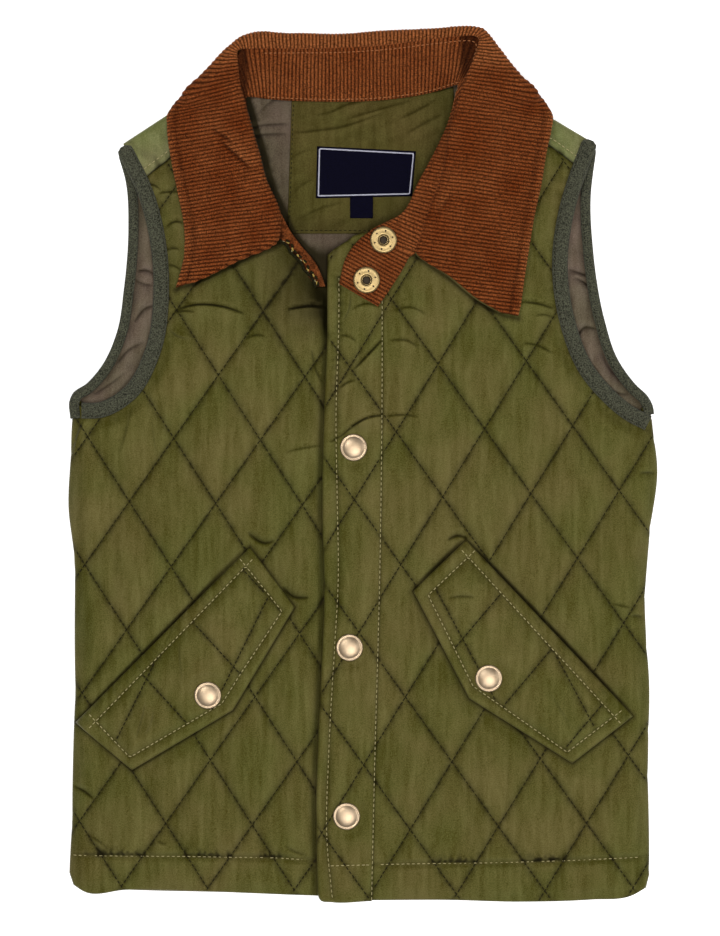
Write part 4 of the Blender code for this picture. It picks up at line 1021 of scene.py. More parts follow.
def quilted_puff(front, x, y):
    """Puff of a quilted front with its soft waves, puckers along the seams and hem gathers."""
    puff = pillow(front.quilt, x, y)
    waves = 0.3 * ripple(x, y, 5, 17, front.seed) + 0.2 * ripple(x, y, 9, 30, front.seed + 1)
    gap, side, share = nearest_on(front.hem_stitch, x, y)
    hem = ramp(gap / 2.5) * np.where(side < 0, 0.6, 1.0)
    crumple = gathered(front, x) * np.exp(-gap / 5) * ramp(gap / 0.8) * np.where(side < 0, 0.1, 1.0)
    crumple = crumple * (1.2 * ripple(x, y, 1.8, 5, front.seed + 2) + 0.5)
    pucker = 0.22 * puckers(front.quilt, x, y, front.seed + 3)
    return FRONT_PUFF * puff * hem + waves * puff + pucker + crumple


def front_puff(front, x, y, fade):
    """Quilting of a front, which fades out towards its edges and which its flap presses flat."""
    for gap, reach in (
        (side_gap(front.side, x, y), SIDE_FADE),
        (gap_to(front.arm, x, y) - BINDING_WIDTH, ARM_FADE),
        (gap_to(front.hem, x, y), HEM_FADE),
        (gap_to(front.yoke_seam, x, y), YOKE_FADE),
        (gap_to(front.neck, x, y), NECK_FADE),
    ):
        fade = fade * ramp(gap / reach)
    fade = fade * (1 - CHEST_FLATTER * ramp((y - CHEST_Y) / CHEST_FADE))
    return quilted_puff(front, x, y) * fade * pressed_by(front.flap, x, y)


def arm_draw(front, x, y):
    """Puckers of a front along its bound armhole."""
    return drawn_by(front.arm, BINDING_WIDTH, x, y, front.seed + ARM_SEED)


def front_right_top(x, y):
    """Quilted top of the right front, which goes flat under the placket."""
    placket_gap = placket_edge_x(y) - x
    puff = front_puff(right_half, x, y, ramp((placket_gap - 0.3) / 3))
    folds = fold_height(RIGHT_FOLDS, x, y) * ramp((placket_gap - 0.5) / 2)
    drawn = ARM_DRAW * arm_draw(right_half, x, y) * ramp(placket_gap / 9)
    return front_right_low(x, y) + np.maximum(FRONT_WALL + puff + folds + drawn, THINNEST)


def hem_painted_shade(front, x, y):
    """Painted shade above a hem, where the cloth gathers over its stitches."""
    gap, side, share = nearest_on(front.hem_stitch, x, y)
    folds = ramp(0.4 + 1.2 * ripple(x, y, 1.2, 5, 29))
    dark = 0.8 * folds * np.exp(-((gap - 1.5) / 2.8) ** 2) + 0.5 * np.exp(-((gap - 0.8) / 0.9) ** 2)
    return 0.3 * np.exp(-(gap / 0.9) ** 2) + gathered(front, x) * dark * (side > 0)


def front_painted_shade(front, x, y):
    """Painted shade of a front along its stitches and creases, and beside its binding, flap and leaf."""
    arm_gap = gap_to(front.arm, x, y) - BINDING_WIDTH
    bound = 0.3 * np.exp(-arm_gap ** 2) + 0.25 * arm_draw(front, x, y)
    total = np.maximum(quilt_painted_shade(front.quilt, x, y), fold_painted_shade(front.folds, x, y))
    total = total + shade_along(looped(front.flap), x, y, FLAP_SHADE, FLAP_SHADE_REACH)
    total = total + shade_along(front.leaf_edge, x, y, LEAF_SHADE, front.leaf_reach)
    return total + bound + hem_painted_shade(front, x, y)


def front_right_painted_shade(x, y):
    """Painted shade of the right front, deeper beside the placket and below the neck."""
    placket_gap = placket_edge_x(y) - x
    beside = 0.55 * np.exp(-(placket_gap / 3) ** 2) + 1.05 * ramp((y - 60) / 30) * np.exp(-placket_gap / 16)
    below_neck = 0.3 * ramp((y - 40) / 60) * np.exp(-placket_gap / 45)
    return front_painted_shade(right_half, x, y) + np.clip(beside, 0, 1) + below_neck


def notched(side, quilt, inward):
    """A side seam drawn in a little where stitch lines end on it."""
    drawn_in = shifted(side, inward)
    puffed = pillow(quilt, *shifted(side, inward * 3).T)[:, None] ** 0.5
    return drawn_in - (drawn_in - side) * puffed


placket_edge = smooth_curve(PLACKET_EDGE, OUTLINE_STEP)
placket_seam = smooth_curve(PLACKET_SEAM, OUTLINE_STEP)
arm_right = smooth_curve(ARMHOLE_FRONT_RIGHT, OUTLINE_STEP)
neck_right = smooth_curve(NECK_RIGHT, OUTLINE_STEP)
hem_stitch_right = smooth_curve(HEM_STITCH_RIGHT, LONG_STITCH_STEP)
flap_right_outline = join(np.array(FLAP_RIGHT))
right_half = Front(
    side_right, arm_right, HEM_RIGHT, YOKE_SEAM_RIGHT, neck_right, QUILT_RIGHT, hem_stitch_right,
    GATHERS_RIGHT, flap_right_outline, LEAF_EDGE_RIGHT, LEAF_REACH_RIGHT, RIGHT_FOLDS, seed=20,
)
covered = (placket_seam[:, 1] < UNDER_PLACKET_TOP) & (placket_seam[:, 1] > UNDER_PLACKET_BOTTOM)
front_right_outline = join(
    smooth_curve(HEM_RIGHT, OUTLINE_STEP),
    shifted(placket_seam[covered], -UNDER_PLACKET_INSET)[::-1],
    neck_right[::-1],
    np.array(YOKE_SEAM_RIGHT)[::-1],
    shifted(arm_right, BOUND_EDGE)[arm_right[:, 1] < YOKE_SEAM_RIGHT[0][1] - 2],
    notched(side_right, QUILT_RIGHT, 1),
)


def quilt_lines(quilt, outline):
    """The falling and the rising stitch lines of a quilt, where they cross an outline."""
    lean = math.radians(quilt["lean"])
    corner, far = outline.min(axis=0) - 2, outline.max(axis=0) + 2
    corners = np.array([(x, y) for x in (corner[0], far[0]) for y in (corner[1], far[1])])
    one, other = lattice(quilt, *corners.T)
    families = []
    for turn, places, others in ((1, one, other), (-1, other, one)):
        steps = np.arange(others.min(), others.max(), 2 / QUILT_ROW_UNIT)
        lines = []
        for number in range(math.ceil(places.min()), math.floor(places.max()) + 1):
            across = (number + steps) / 2 * quilt["width"]
            upward = (number - steps) / 2 * quilt["height"] * turn
            line = np.column_stack([
                quilt["x"] + across * math.cos(lean) + upward * math.sin(lean),
                quilt["y"] - across * math.sin(lean) + upward * math.cos(lean),
            ])
            line = line[((line > corner) & (line < far)).all(axis=1)]
            if len(line) > 2:
                lines.append(line)
        families.append(lines)
    return families


def crease_lines(quilt, outline, folds):
    """All lines along which a quilted piece is creased."""
    return sum(quilt_lines(quilt, outline), []) + fold_lines(folds)


def front_creases(front, outline):
    """All lines along which a front is creased, by its flap, its leaf, its quilting and its folds."""
    return [straight(looped(front.flap), CREASE_STEP), smooth_curve(front.leaf_edge, CREASE_STEP),
            *crease_lines(front.quilt, outline, front.folds)]


front_right = cloth_panel(
    "quilted_front_right", front_right_outline, front_right_low, front_right_top, FRONT_STEPS, FRONT_EDGE,
    green_nylon, front_creases(right_half, front_right_outline),
)
mark_cloth(front_right, front_right_painted_shade)
sew_on(front_right, "green_nylon", "front_right")


def seen_on(outline, margin, *covers):
    """Test for places on an outline that no cover hides."""

    def seen(x, y):
        kept = inside(outline, x, y) & (gap_to(looped(outline), x, y) > margin)
        for cover in covers:
            kept &= ~inside(cover, x, y)
        return kept

    return seen


def sew_quilting(name, quilt, outline, surface, seen):
    """The falling and the rising rows of a quilt, whose rising stitches are a little longer."""
    return [
        sew(f"{name}_{way}", lines, surface, dark_thread, "green_nylon", QUILTING_PITCH, length,
            QUILTING_THREAD, seen)
        for way, lines, length in zip(("falling", "rising"), quilt_lines(quilt, outline), (2.0, 2.1))
    ]


def stretch(line, start, end):
    """The points of a line between two places across the vest."""
    return line[(line[:, 0] > start) & (line[:, 0] < end)]


quilting_right = sew_quilting("quilting_right", QUILT_RIGHT, front_right_outline, front_right_top,
                              seen_on(front_right_outline, 1.5, flap_right_outline))
hem_stitches_right = sew(
    "hem_stitches_right", [stretch(hem_stitch_right, *HEM_ROW_RIGHT)], front_right_top, cream_thread,
    "green_nylon",
)


# The left front is the same quilting. It swells towards the placket, which is sewn along its edge,
# and comes down to the back at its side seam.
HEM_LEFT = [(6, -235.5), (45, -235.4), (85, -236.5), (123, -235.4), (145, -233.3), (153, -229)]
ARMHOLE_FRONT_LEFT = [(127, 173.3), (121.5, 159), (115, 139), (110.7, 109.5), (114, 80.5),
                      (125.3, 52), (135.5, 40), (146, 31.2), (156, 26)]
YOKE_SEAM_LEFT = [(119.2, 158.2), (102.6, 170.6), (78, 182), (52, 193)]
NECK_LEFT = [(52, 193), (48.5, 181), (42, 169), (32, 151), (23, 134.5), (11.2, 127.5)]
HEM_STITCH_LEFT = [(-30, -217.2), (-1.6, -216.4), (40, -215.6), (74, -215.2), (115, -214), (156, -212)]
FLAP_LEFT = [(145.8, -136.1), (55.6, -41), (27, -68.6), (57.2, -126.4), (112.9, -161.5)]
QUILT_LEFT = {"x": 43.0, "y": -17.6, "width": 47.7, "height": 71.6, "lean": -2.0}
CROWN_LEFT = 2.6
CROWN_LEFT_REACH = 90.0
GATHERS_LEFT = [Gather(50, 12), Gather(98, 13)]
LEAF_EDGE_LEFT = [(27, 113), (47, 99.4), (63, 86.4), (76, 80), (84, 78.4)]
LEAF_REACH_LEFT = 1.5
HEM_ROW_LEFT = (8.0, 153.0)
SEAM_EDGE = 0.2
SEAM_PUFF = 0.4
SEAM_FADE = 25.0
SEAM_SHADE = 0.35
SEAM_SHADE_REACH = 0.9
LEFT_FOLDS = [
    Fold([(103, 83.4), (94, 86), (85, 87)], 1.2, 0.6, 3.0),
    Fold([(102, 59.4), (94, 63.5), (86, 64.8)], 1.0, 0.6, 3.0),
    Fold([(104, 78), (98, 80), (93, 79.6)], 0.7, 0.6, 2.0),
    Fold([(56.4, -40.2), (85, -70.4), (115, -102), (145, -134)], -1.4, 0.7, 0.7),
    Fold([(54, -40.6), (42, -52.4), (29, -65)], -1.2, 0.7, 0.7),
    Fold([(30, 25), (20.8, 26), (10, 24.9)], 0.9, 0.6, 3.5),
    Fold([(45.3, -41), (51, -38.6), (56.6, -39.9)], -2.4, 0.7, 1.5),
    Fold([(159, -5.2), (154, -4.6), (149, -4.8)], -1.2, 0.7, 1.6),
    Fold([(145, -78.3), (139, -77), (133, -75.6)], 0.7, 0.7, 2.5),
    Fold([(153, -83.6), (148, -82), (144, -82)], -1.2, 0.7, 1.6),
    Fold([(116, 18), (118, 6), (121, -8)], 0.7, 1.6, 4.0),
    Fold([(100, 40), (101, 28), (104, 14)], 0.6, 1.6, 4.0),
    Fold([(30, 62), (24, 66), (14, 66)], 0.8, 0.7, 3.0),
    Fold([(34, 80), (26, 84), (16, 82)], 0.7, 0.7, 3.0),
]


def front_left_low(x, y):
    """Underside of the left front, which rises towards the placket."""
    seam_x = np.interp(-np.asarray(y), -placket_seam[:, 1], placket_seam[:, 0])
    rise = np.cos(math.pi / 2 * np.clip((x - seam_x) / CROWN_LEFT_REACH, 0, 1))
    return side_height(side_left, x, y) + CROWN_LEFT * rise


def front_left_top(x, y):
    """Quilted top of the left front, which is sewn down along the placket."""
    seam_gap = gap_to(placket_seam, x, y)
    puff = front_puff(left_half, x, y, SEAM_PUFF + (1 - SEAM_PUFF) * ramp(seam_gap / SEAM_FADE))
    folds = fold_height(LEFT_FOLDS, x, y)
    drawn = ARM_DRAW * arm_draw(left_half, x, y) + seam_draw(seam_gap, x, y)
    return front_left_low(x, y) + np.maximum(FRONT_WALL + puff + folds + drawn, THINNEST)


def seam_draw(gap, x, y):
    """Groove and puckers along a row of topstitching, by the distance from it."""
    return 0.25 * ripple(x, y, 9, 1.7, 64) * np.exp(-gap / 2.5) - 0.5 * np.exp(-(gap / 0.8) ** 2)


def front_left_painted_shade(x, y):
    """Painted shade of the left front, with that of the placket's seam."""
    return front_painted_shade(left_half, x, y) + shade_along(placket_seam, x, y, SEAM_SHADE, SEAM_SHADE_REACH)


arm_left = smooth_curve(ARMHOLE_FRONT_LEFT, OUTLINE_STEP)
neck_left = smooth_curve(NECK_LEFT, OUTLINE_STEP)
hem_stitch_left = smooth_curve(HEM_STITCH_LEFT, LONG_STITCH_STEP)
flap_left_outline = join(np.array(FLAP_LEFT))
left_half = Front(
    side_left, arm_left, HEM_LEFT, YOKE_SEAM_LEFT, neck_left, QUILT_LEFT, hem_stitch_left,
    GATHERS_LEFT, flap_left_outline, LEAF_EDGE_LEFT, LEAF_REACH_LEFT, LEFT_FOLDS, seed=40,
)
front_left_outline = join(
    smooth_curve(HEM_LEFT, OUTLINE_STEP),
    notched(side_left, QUILT_LEFT, -1)[::-1],
    shifted(arm_left, -BOUND_EDGE)[arm_left[:, 1] < YOKE_SEAM_LEFT[0][1] - 2][::-1],
    np.array(YOKE_SEAM_LEFT),
    neck_left,
    shifted(placket_seam, -0.3),
)
at_placket = gap_to(placket_seam, *front_left_outline.T) < 1
front_left = cloth_panel(
    "quilted_front_left", front_left_outline, front_left_low, front_left_top, FRONT_STEPS,
    np.where(at_placket, SEAM_EDGE, FRONT_EDGE), green_nylon,
    [placket_seam, *front_creases(left_half, front_left_outline)],
)
mark_cloth(front_left, front_left_painted_shade)
sew_on(front_left, "green_nylon", "front_left")
quilting_left = sew_quilting("quilting_left", QUILT_LEFT, front_left_outline, front_left_top,
                             seen_on(front_left_outline, 1.2, flap_left_outline))
hem_stitches_left = sew(
    "hem_stitches_left", [stretch(hem_stitch_left, *HEM_ROW_LEFT)], front_left_top, cream_thread,
    "green_nylon",
)


# The placket is the left front's edge, folded back on itself and stitched down both sides. It lies
# over the right front, and its quilting runs on from the left front.
PLACKET_TOP = [(10.6, 127.5), (-5.2, 123.3), (-8.6, 120.5), (-15.7, 116.1), (-19.1, 112.8)]
PLACKET_BOTTOM = [(-24.6, -232), (-23, -235.6), (-17, -236.6), (4.6, -236)]
PLACKET_LOW = 7.6
PLACKET_WALL = 2.4
PLACKET_PUFF = 1.1
PLACKET_ROLL = 0.5
PLACKET_STEPS = (1.2, 12.0)
PLACKET_EDGE_ROUND = 1.2
HEM_ROW_PLACKET = (-19.0, 5.0)
SEAM_STITCH_TOP = 92.0
PLACKET_STITCH = [(-13, 101), (-13, 82), (-14.6, 22.7), (-14, -15), (-13.5, -66.4), (-15.1, -95),
                  (-18.4, -153.9), (-19.4, -204.7), (-16.6, -234)]
PLACKET_STITCH_SEAM_INSET = 0.3
SNAPS_PLACKET = [(-5.1, 8.9), (-7.3, -99.1), (-8.9, -190.1)]
SNAP_CLEAR = 8.5
PLACKET_FOLDS = [
    Fold([(14, 26), (2.6, 24.4), (-5.4, 19.8), (-11, 15), (-18, 11)], 2.2, 0.6, 3.4),
    Fold([(13, 69), (4, 59.5), (-5, 50)], 1.8, 0.6, 3.4),
    Fold([(-4, 65.6), (-8, 68.4), (-13, 69)], 0.9, 0.5, 2.2),
    Fold([(-4, 45), (-8, 43.6), (-13, 40)], 0.9, 0.5, 2.2),
    Fold([(-12, 76), (-8, 84), (-7, 92)], 0.8, 0.6, 2.4),
    Fold([(9, 84), (2, 86), (-6, 83)], 0.7, 0.6, 2.4),
]


def placket_top(x, y):
    """Top of the placket, drawn in along its stitches and flat round its snaps."""
    seam_gap = gap_to(placket_seam, x, y)
    edge_stitch_gap = gap_to(placket_stitch, x, y)
    fade = ramp(edge_stitch_gap / 4)
    roll = PLACKET_ROLL * np.exp(-((gap_to(placket_edge, x, y) - 2.6) / 2.0) ** 2)
    flat = np.ones(np.shape(x))
    for snap_x, snap_y in SNAPS_PLACKET:
        flat = flat * ramp((np.hypot(x - snap_x, y - snap_y) - SNAP_CLEAR) / 5)
    puff = PLACKET_PUFF * pillow(QUILT_LEFT, x, y) + 0.2 * ripple(x, y, 5, 15, 60)
    puff = puff + 0.2 * puckers(QUILT_LEFT, x, y, 61)
    drawn = 1.4 * seam_draw(edge_stitch_gap, x, y) + seam_draw(seam_gap, x, y)
    plain = PLACKET_LOW + PLACKET_WALL - 0.2 * (1 - ramp(seam_gap / 4))
    return plain + (puff * fade + fold_height(PLACKET_FOLDS, x, y)) * flat + roll + drawn


def placket_painted_shade(x, y):
    """Painted shade of the placket along its stitches and creases, and in puckers by its edge stitching near
    the top.
    """
    stitch_gap = gap_to(placket_stitch, x, y)
    sewn_gap = np.minimum(stitch_gap, gap_to(placket_seam, x, y))
    sewn = SEAM_SHADE * np.exp(-(sewn_gap / SEAM_SHADE_REACH) ** 2)
    tight = 0.5 * ramp((y - 20) / 40) * ramp(2 * ripple(x, y, 4, 1.6, 65)) * np.exp(-stitch_gap / 2)
    return np.maximum(quilt_painted_shade(QUILT_LEFT, x, y), fold_painted_shade(PLACKET_FOLDS, x, y)) + sewn + tight


placket_stitch = smooth_curve(PLACKET_STITCH, LONG_STITCH_STEP)
seam_stitch = shifted(placket_seam, -PLACKET_STITCH_SEAM_INSET)
placket_outline = join(
    placket_edge, smooth_curve(PLACKET_BOTTOM, OUTLINE_STEP), placket_seam[::-1], np.array(PLACKET_TOP)
)
placket = cloth_panel(
    "quilted_placket", placket_outline, level(PLACKET_LOW), placket_top, PLACKET_STEPS,
    np.where(gap_to(placket_seam, *placket_outline.T) < 1, SEAM_EDGE, PLACKET_EDGE_ROUND), green_nylon,
    [placket_stitch, placket_seam, *crease_lines(QUILT_LEFT, placket_outline, PLACKET_FOLDS)],
)
mark_cloth(placket, placket_painted_shade)
sew_on(placket, "green_nylon", "placket")
placket_stitches = sew(
    "placket_stitches",
    [placket_stitch, seam_stitch[seam_stitch[:, 1] < SEAM_STITCH_TOP],
     stretch(hem_stitch_left, *HEM_ROW_PLACKET)],
    placket_top, cream_thread, "green_nylon",
)
placket_quilting = sew_quilting("placket_quilting", QUILT_LEFT, placket_outline, placket_top,
                                seen_on(placket_outline, 1.5))


# The pocket flaps are quilted too, bagged out and topstitched, and set slanting into a seam along
# their upper edge. They press the puffs below them flat.
SNAP_FLAP_RIGHT = (-83.7, -124.7)
SNAP_FLAP_LEFT = (67.8, -115.6)
QUILT_FLAP_RIGHT = {"x": -69.8, "y": -109.3, "width": 47.4, "height": 69.3, "lean": -8.0}
QUILT_FLAP_LEFT = {"x": 53.7, "y": -94.3, "width": 48.6, "height": 71.6, "lean": 6.0}
STITCH_OVERRUN = 6.5
MOUTH_REACH = 7.0
FLAP_STITCH_RIGHT = [(-144.2, -138.8), (-63.2, -55.1), (-43.7, -79.4), (-65.9, -112.9), (-76.1, -129.1),
                     (-125.8, -158.2), (-144.2, -138.8)]
FLAP_STITCH_LEFT = [(135.5, -136.1), (56.7, -50.2), (35.1, -70.7), (59.4, -119.9), (110.2, -155.5),
                    (135.5, -136.1)]
FLAP_RISE = 2.9
FLAP_MOUTH_DROP = 1.6
FLAP_MIDDLE = 0.9
FLAP_WALL = 1.7
FLAP_SWELL = 0.6
FLAP_PUFF = 1.3
FLAP_STEPS = (1.3, 10.0)
FLAP_EDGE = 1.0
FLAP_FOLDS_RIGHT = [
    Fold([(-123, -148), (-120, -138), (-118, -128)], 0.7, 0.7, 2.0),
    Fold([(-118, -146), (-115, -140), (-113.6, -132)], 0.6, 0.7, 2.0),
    Fold([(-98, -118), (-99.4, -104), (-100, -92)], 0.7, 0.9, 3.0),
]
FLAP_FOLDS_LEFT = [
    Fold([(45.8, -72.3), (51.5, -71.3), (60.5, -71.7)], -0.9, 0.6, 1.2),
    Fold([(100, -120), (108, -134), (116, -146)], 0.5, 1.0, 3.0),
]


def make_flap(side, outline, mouth, stitch_line, front_low, quilt, snap, folds, seed):
    """A pocket flap with its quilting and its topstitching, which runs out at the mouth's two ends."""
    rim = looped(outline)
    corners = np.array(stitch_line)
    stitch_line = straight(stitch_line, STITCH_LINE_STEP)
    overruns = []
    for corner, before in ((0, -2), (0, 1), (1, 0), (1, 2)):
        away = corners[corner] - corners[before]
        end = corners[corner] + away / np.linalg.norm(away) * STITCH_OVERRUN
        overruns.append(straight([corners[corner], end], STITCH_LINE_STEP))

    def low(x, y):
        rise = FLAP_RISE + FLAP_MIDDLE * ramp(gap_to(rim, x, y) / 16)
        return front_low(x, y) + rise - FLAP_MOUTH_DROP * (1 - ramp(gap_to(mouth, x, y) / MOUTH_REACH))

    def top(x, y):
        stitch_gap = gap_to(stitch_line, x, y)
        flat = ramp((np.hypot(x - snap[0], y - snap[1]) - SNAP_CLEAR) / 5)
        waves = 0.25 * ripple(x, y, 5, 26, seed) + 0.12 * ripple(x, y, 2.4, 2.4, seed + 1)
        puff = (FLAP_PUFF * pillow(quilt, x, y) + waves) * ramp(stitch_gap / 5)
        puff = puff + 0.2 * puckers(quilt, x, y, seed + 2)
        puff = puff + 0.15 * ripple(x + y, x - y, 1.8, 9, seed + 5) * np.exp(-stitch_gap / 2.5)
        roll = FLAP_SWELL * ramp(gap_to(rim, x, y) / 3)
        groove = 0.5 * np.exp(-(stitch_gap / 0.8) ** 2)
        return low(x, y) + FLAP_WALL + (puff + fold_height(folds, x, y)) * flat + roll - groove

    # Painted shade along the topstitching, on the quilting, in the folds and in a mottled band below the
    # mouth.
    def painted_shade(x, y):
        sewn = shade_along(stitch_line, x, y, SEAM_SHADE, SEAM_SHADE_REACH)
        band = 0.3 * ramp(2 * ripple(x + y, x - y, 1.8, 9, seed + 5)) * np.exp(-gap_to(mouth, x, y) / 6)
        quilted = quilt_painted_shade(quilt, x, y) * inside(corners[:-1], x, y)
        return np.maximum(quilted, fold_painted_shade(folds, x, y)) + sewn + band

    flap = cloth_panel(f"quilted_flap_{side}", outline, low, top, FLAP_STEPS, FLAP_EDGE, green_nylon,
                       [stitch_line, *crease_lines(quilt, outline, folds)])
    mark_cloth(flap, painted_shade)
    sew_on(flap, "green_nylon", f"flap_{side}")
    stitches = sew(f"flap_stitches_{side}", [stitch_line, *overruns], top, cream_thread, "green_nylon",
                   keep=seen_on(outline, 0.8))
    quilting = sew_quilting(f"flap_quilting_{side}", quilt, outline, top, seen_on(corners[:-1], 1.2))
    return top


flap_right_top = make_flap(
    "right", flap_right_outline, [FLAP_RIGHT[0], FLAP_RIGHT[-1]], FLAP_STITCH_RIGHT,
    front_right_low, QUILT_FLAP_RIGHT, SNAP_FLAP_RIGHT, FLAP_FOLDS_RIGHT, 70,
)
flap_left_top = make_flap(
    "left", flap_left_outline, FLAP_LEFT[:2], FLAP_STITCH_LEFT,
    front_left_low, QUILT_FLAP_LEFT, SNAP_FLAP_LEFT, FLAP_FOLDS_LEFT, 80,
)


# The yokes are plain strips of the nylon that turn over the shoulders, drawn in a copy of it painted a
# shade lighter, as painted light where they catch the light. A row of khaki stitches runs just above each
# seam.
YOKE_TOP = 7.2
YOKE_STEP = 1.6
YOKE_STITCH_INSET = 4.2
YOKE_STITCH_LIFT = 0.25
YOKE_COLUMNS = 14
YOKE_ROLL = 3.0
YOKE_EDGE = 0.8
YOKE_EDGE_DROP = 0.6
YOKE_SEAM_GAP = 0.3
LIP = [(0.0, 0.0), (0.0, 2.0), (0.0, 4.2), (0.35, 5.7), (1.3, 6.7)]
LINING_SIDE = [(3.0, 5.4), (1.8, 4.0), (1.8, 0.0)]


def closed_tube(name, rings, material):
    """Solid through closed rings of points, with flat ends."""
    rings = np.array(rings)
    index = np.arange(rings.shape[0] * rings.shape[1]).reshape(rings.shape[:2])
    near, far = index[:-1], index[1:]
    sides = np.stack([near, np.roll(near, -1, axis=1), np.roll(far, -1, axis=1), far], axis=-1)
    faces = sides.reshape(-1, 4).tolist() + [index[0][::-1].tolist(), index[-1].tolist()]
    return make_piece(name, rings.reshape(-1, 3), faces, material)


# Painted light: the yokes' nylon is the green nylon painted lighter.
lit_yoke_nylon = taffeta("lit_yoke_nylon_taffeta", "#5e5f37", "#808159", 0.08)
for side, shoulder, seam, seed in (
    ("right", SHOULDER_RIGHT, YOKE_SEAM_RIGHT, 90),
    ("left", SHOULDER_LEFT, YOKE_SEAM_LEFT, 95),
):
    rings = []
    stitch_line = []
    for fold_x, fold_y, seam_x, seam_y in straight(np.hstack([shoulder, seam]), YOKE_STEP):
        reach = np.array([seam_x - fold_x, seam_y - fold_y])
        length = np.linalg.norm(reach)
        leg = length - YOKE_SEAM_GAP
        spots = np.linspace(YOKE_ROLL, leg - YOKE_EDGE, YOKE_COLUMNS)
        section = [*LIP, *((spot, YOKE_TOP) for spot in spots)]
        section += [(leg, YOKE_TOP - YOKE_EDGE_DROP), (leg, FRONT_LOW), *LINING_SIDE]
        across, heights = np.array(section).T
        places = np.array([fold_x, fold_y]) + across[:, None] * reach / length
        top = slice(len(LIP), len(LIP) + YOKE_COLUMNS)
        waves = 0.6 * ripple(places[top, 0] + places[top, 1], places[top, 1], 4, 11, seed)
        waves = waves + 0.35 * ripple(places[top, 0], places[top, 1], 1.8, 7, seed + 2)
        groove = 0.35 * np.exp(-(leg - spots - YOKE_STITCH_INSET) ** 2)
        heights[top] += waves - groove
        rings.append(np.column_stack([places, heights]))
        stitch_line.append(np.array([fold_x, fold_y]) + reach / length * (leg - YOKE_STITCH_INSET))
    yoke = closed_tube(f"nylon_yoke_{side}", rings, lit_yoke_nylon)

    # Painted shade in the puckers by the seam, in broad creases and along the seam.
    def yoke_painted_shade(x, y):
        puckered = 0.4 * ramp(2.2 * ripple(x, y, 1.8, 7, seed + 2) - 0.5) * np.exp(-gap_to(seam, x, y) / 8)
        creased = 0.25 * ramp(2 * ripple(x + y, y, 4, 11, seed) - 0.6)
        return puckered + creased + shade_along(seam, x, y, 0.6, 1.2)

    mark_cloth(yoke, yoke_painted_shade)
    sew_on(yoke, "green_nylon", f"yoke_{side}")
    stitches = sew(f"yoke_stitches_{side}", [stitch_line], level(YOKE_TOP + YOKE_STITCH_LIFT), cream_thread,
                   "green_nylon")


# The armholes are bound with a soft grey-green tape with a felted, brushed face. It is folded over
# the raw edges and sewn down, so it is thick, rounded and a little uneven.
BINDING_WIDTH_BACK = 5.6
BINDING_GAP = 0.4
BINDING_LUMP = 0.18
BINDING_ROUND = 3.0
UNDERARM_RISE = 2.6
BINDING_STITCH_INSET = 1.3
BINDING_STITCH_LIFT = 1.35
BINDING_CUT_BACK = 0.3
FIBRE_SIZE = 0.7
BINDING_SECTION = [(0.02, 0.55), (0.06, 1.2), (0.15, 1.65), (0.32, 1.9), (0.55, 1.85), (0.78, 1.6),
                   (0.92, 1.2), (1.0, 0.55), (0.99, 0.0), (0.16, 0.0)]

# The face of the tape is brushed felt: matt, and mottled by short fibres, drawn far coarser than they are.
felt_tape, felt_tree, felt_shader, felt_place = new_material("brushed_felt_tape", {
    "Roughness": 0.95, "Sheen Weight": 0.05, "Sheen Roughness": 0.6, "Specular IOR Level": 0.1,
})
fibres = add_node(felt_tree, "ShaderNodeTexNoise", {}, {
    "Vector": felt_place, "Scale": 1 / (FIBRE_SIZE * MM), "Detail": 2.0, "Roughness": 0.75,
})
felt_range = add_node(felt_tree, "ShaderNodeMapRange", {}, {
    "Value": fibres.outputs[0], "From Min": 0.36, "From Max": 0.64,
})
felt_colour = add_node(felt_tree, "ShaderNodeMix", {"data_type": "RGBA"}, {
    0: felt_range.outputs[0], 6: linear("#181a13"), 7: linear("#545443"),
})
felt_tree.links.new(felt_colour.outputs[2], felt_shader.inputs["Base Color"])
felt_bump = add_node(felt_tree, "ShaderNodeBump", {}, {
    "Height": fibres.outputs[0], "Strength": 0.6, "Distance": 0.4 * MM,
})
felt_tree.links.new(felt_bump.outputs[0], felt_shader.inputs["Normal"])


def make_binding(name, line, inward, width, low, seat, seed):
    """Tape folded over an armhole edge."""
    rings = []
    leg = shifted(line, inward * width)
    for number, (outer, inner) in enumerate(zip(line, leg)):
        foot = float(low(*outer))
        rises = float(seat(*outer)), float(seat(*inner))
        from_end = min(number * OUTLINE_STEP / BINDING_ROUND, 1)
        cut_back = (inner - outer) * BINDING_CUT_BACK * (1 - math.sqrt(1 - (1 - from_end) ** 2))
        outer, inner = outer + cut_back, inner - cut_back
        lump = BINDING_LUMP * float(ripple(number * OUTLINE_STEP, 0, 7, 7, seed))
        section = [(0.14, foot), (0.0, foot)]
        section += [(share, rises[0] + (rises[1] - rises[0]) * share + BINDING_GAP + rise * (1 + lump))
                    for share, rise in BINDING_SECTION]
        rings.append([(*(outer + (inner - outer) * share), height) for share, height in section])
    binding = closed_tube(f"felt_{name}", rings, felt_tape)
    sew_on(binding, "felt_tape", name)

    def stitch_height(x, y):
        seats = [seat(*place) for place in zip(np.ravel(x), np.ravel(y))]
        return np.reshape(seats, np.shape(x)) + BINDING_GAP + BINDING_STITCH_LIFT

    stitch_line = shifted(line, inward * (width - BINDING_STITCH_INSET))[2:-2]
    stitches = sew(f"{name}_stitches", [stitch_line], stitch_height, dark_thread, "felt_tape", 2.4, 1.4, 0.45)


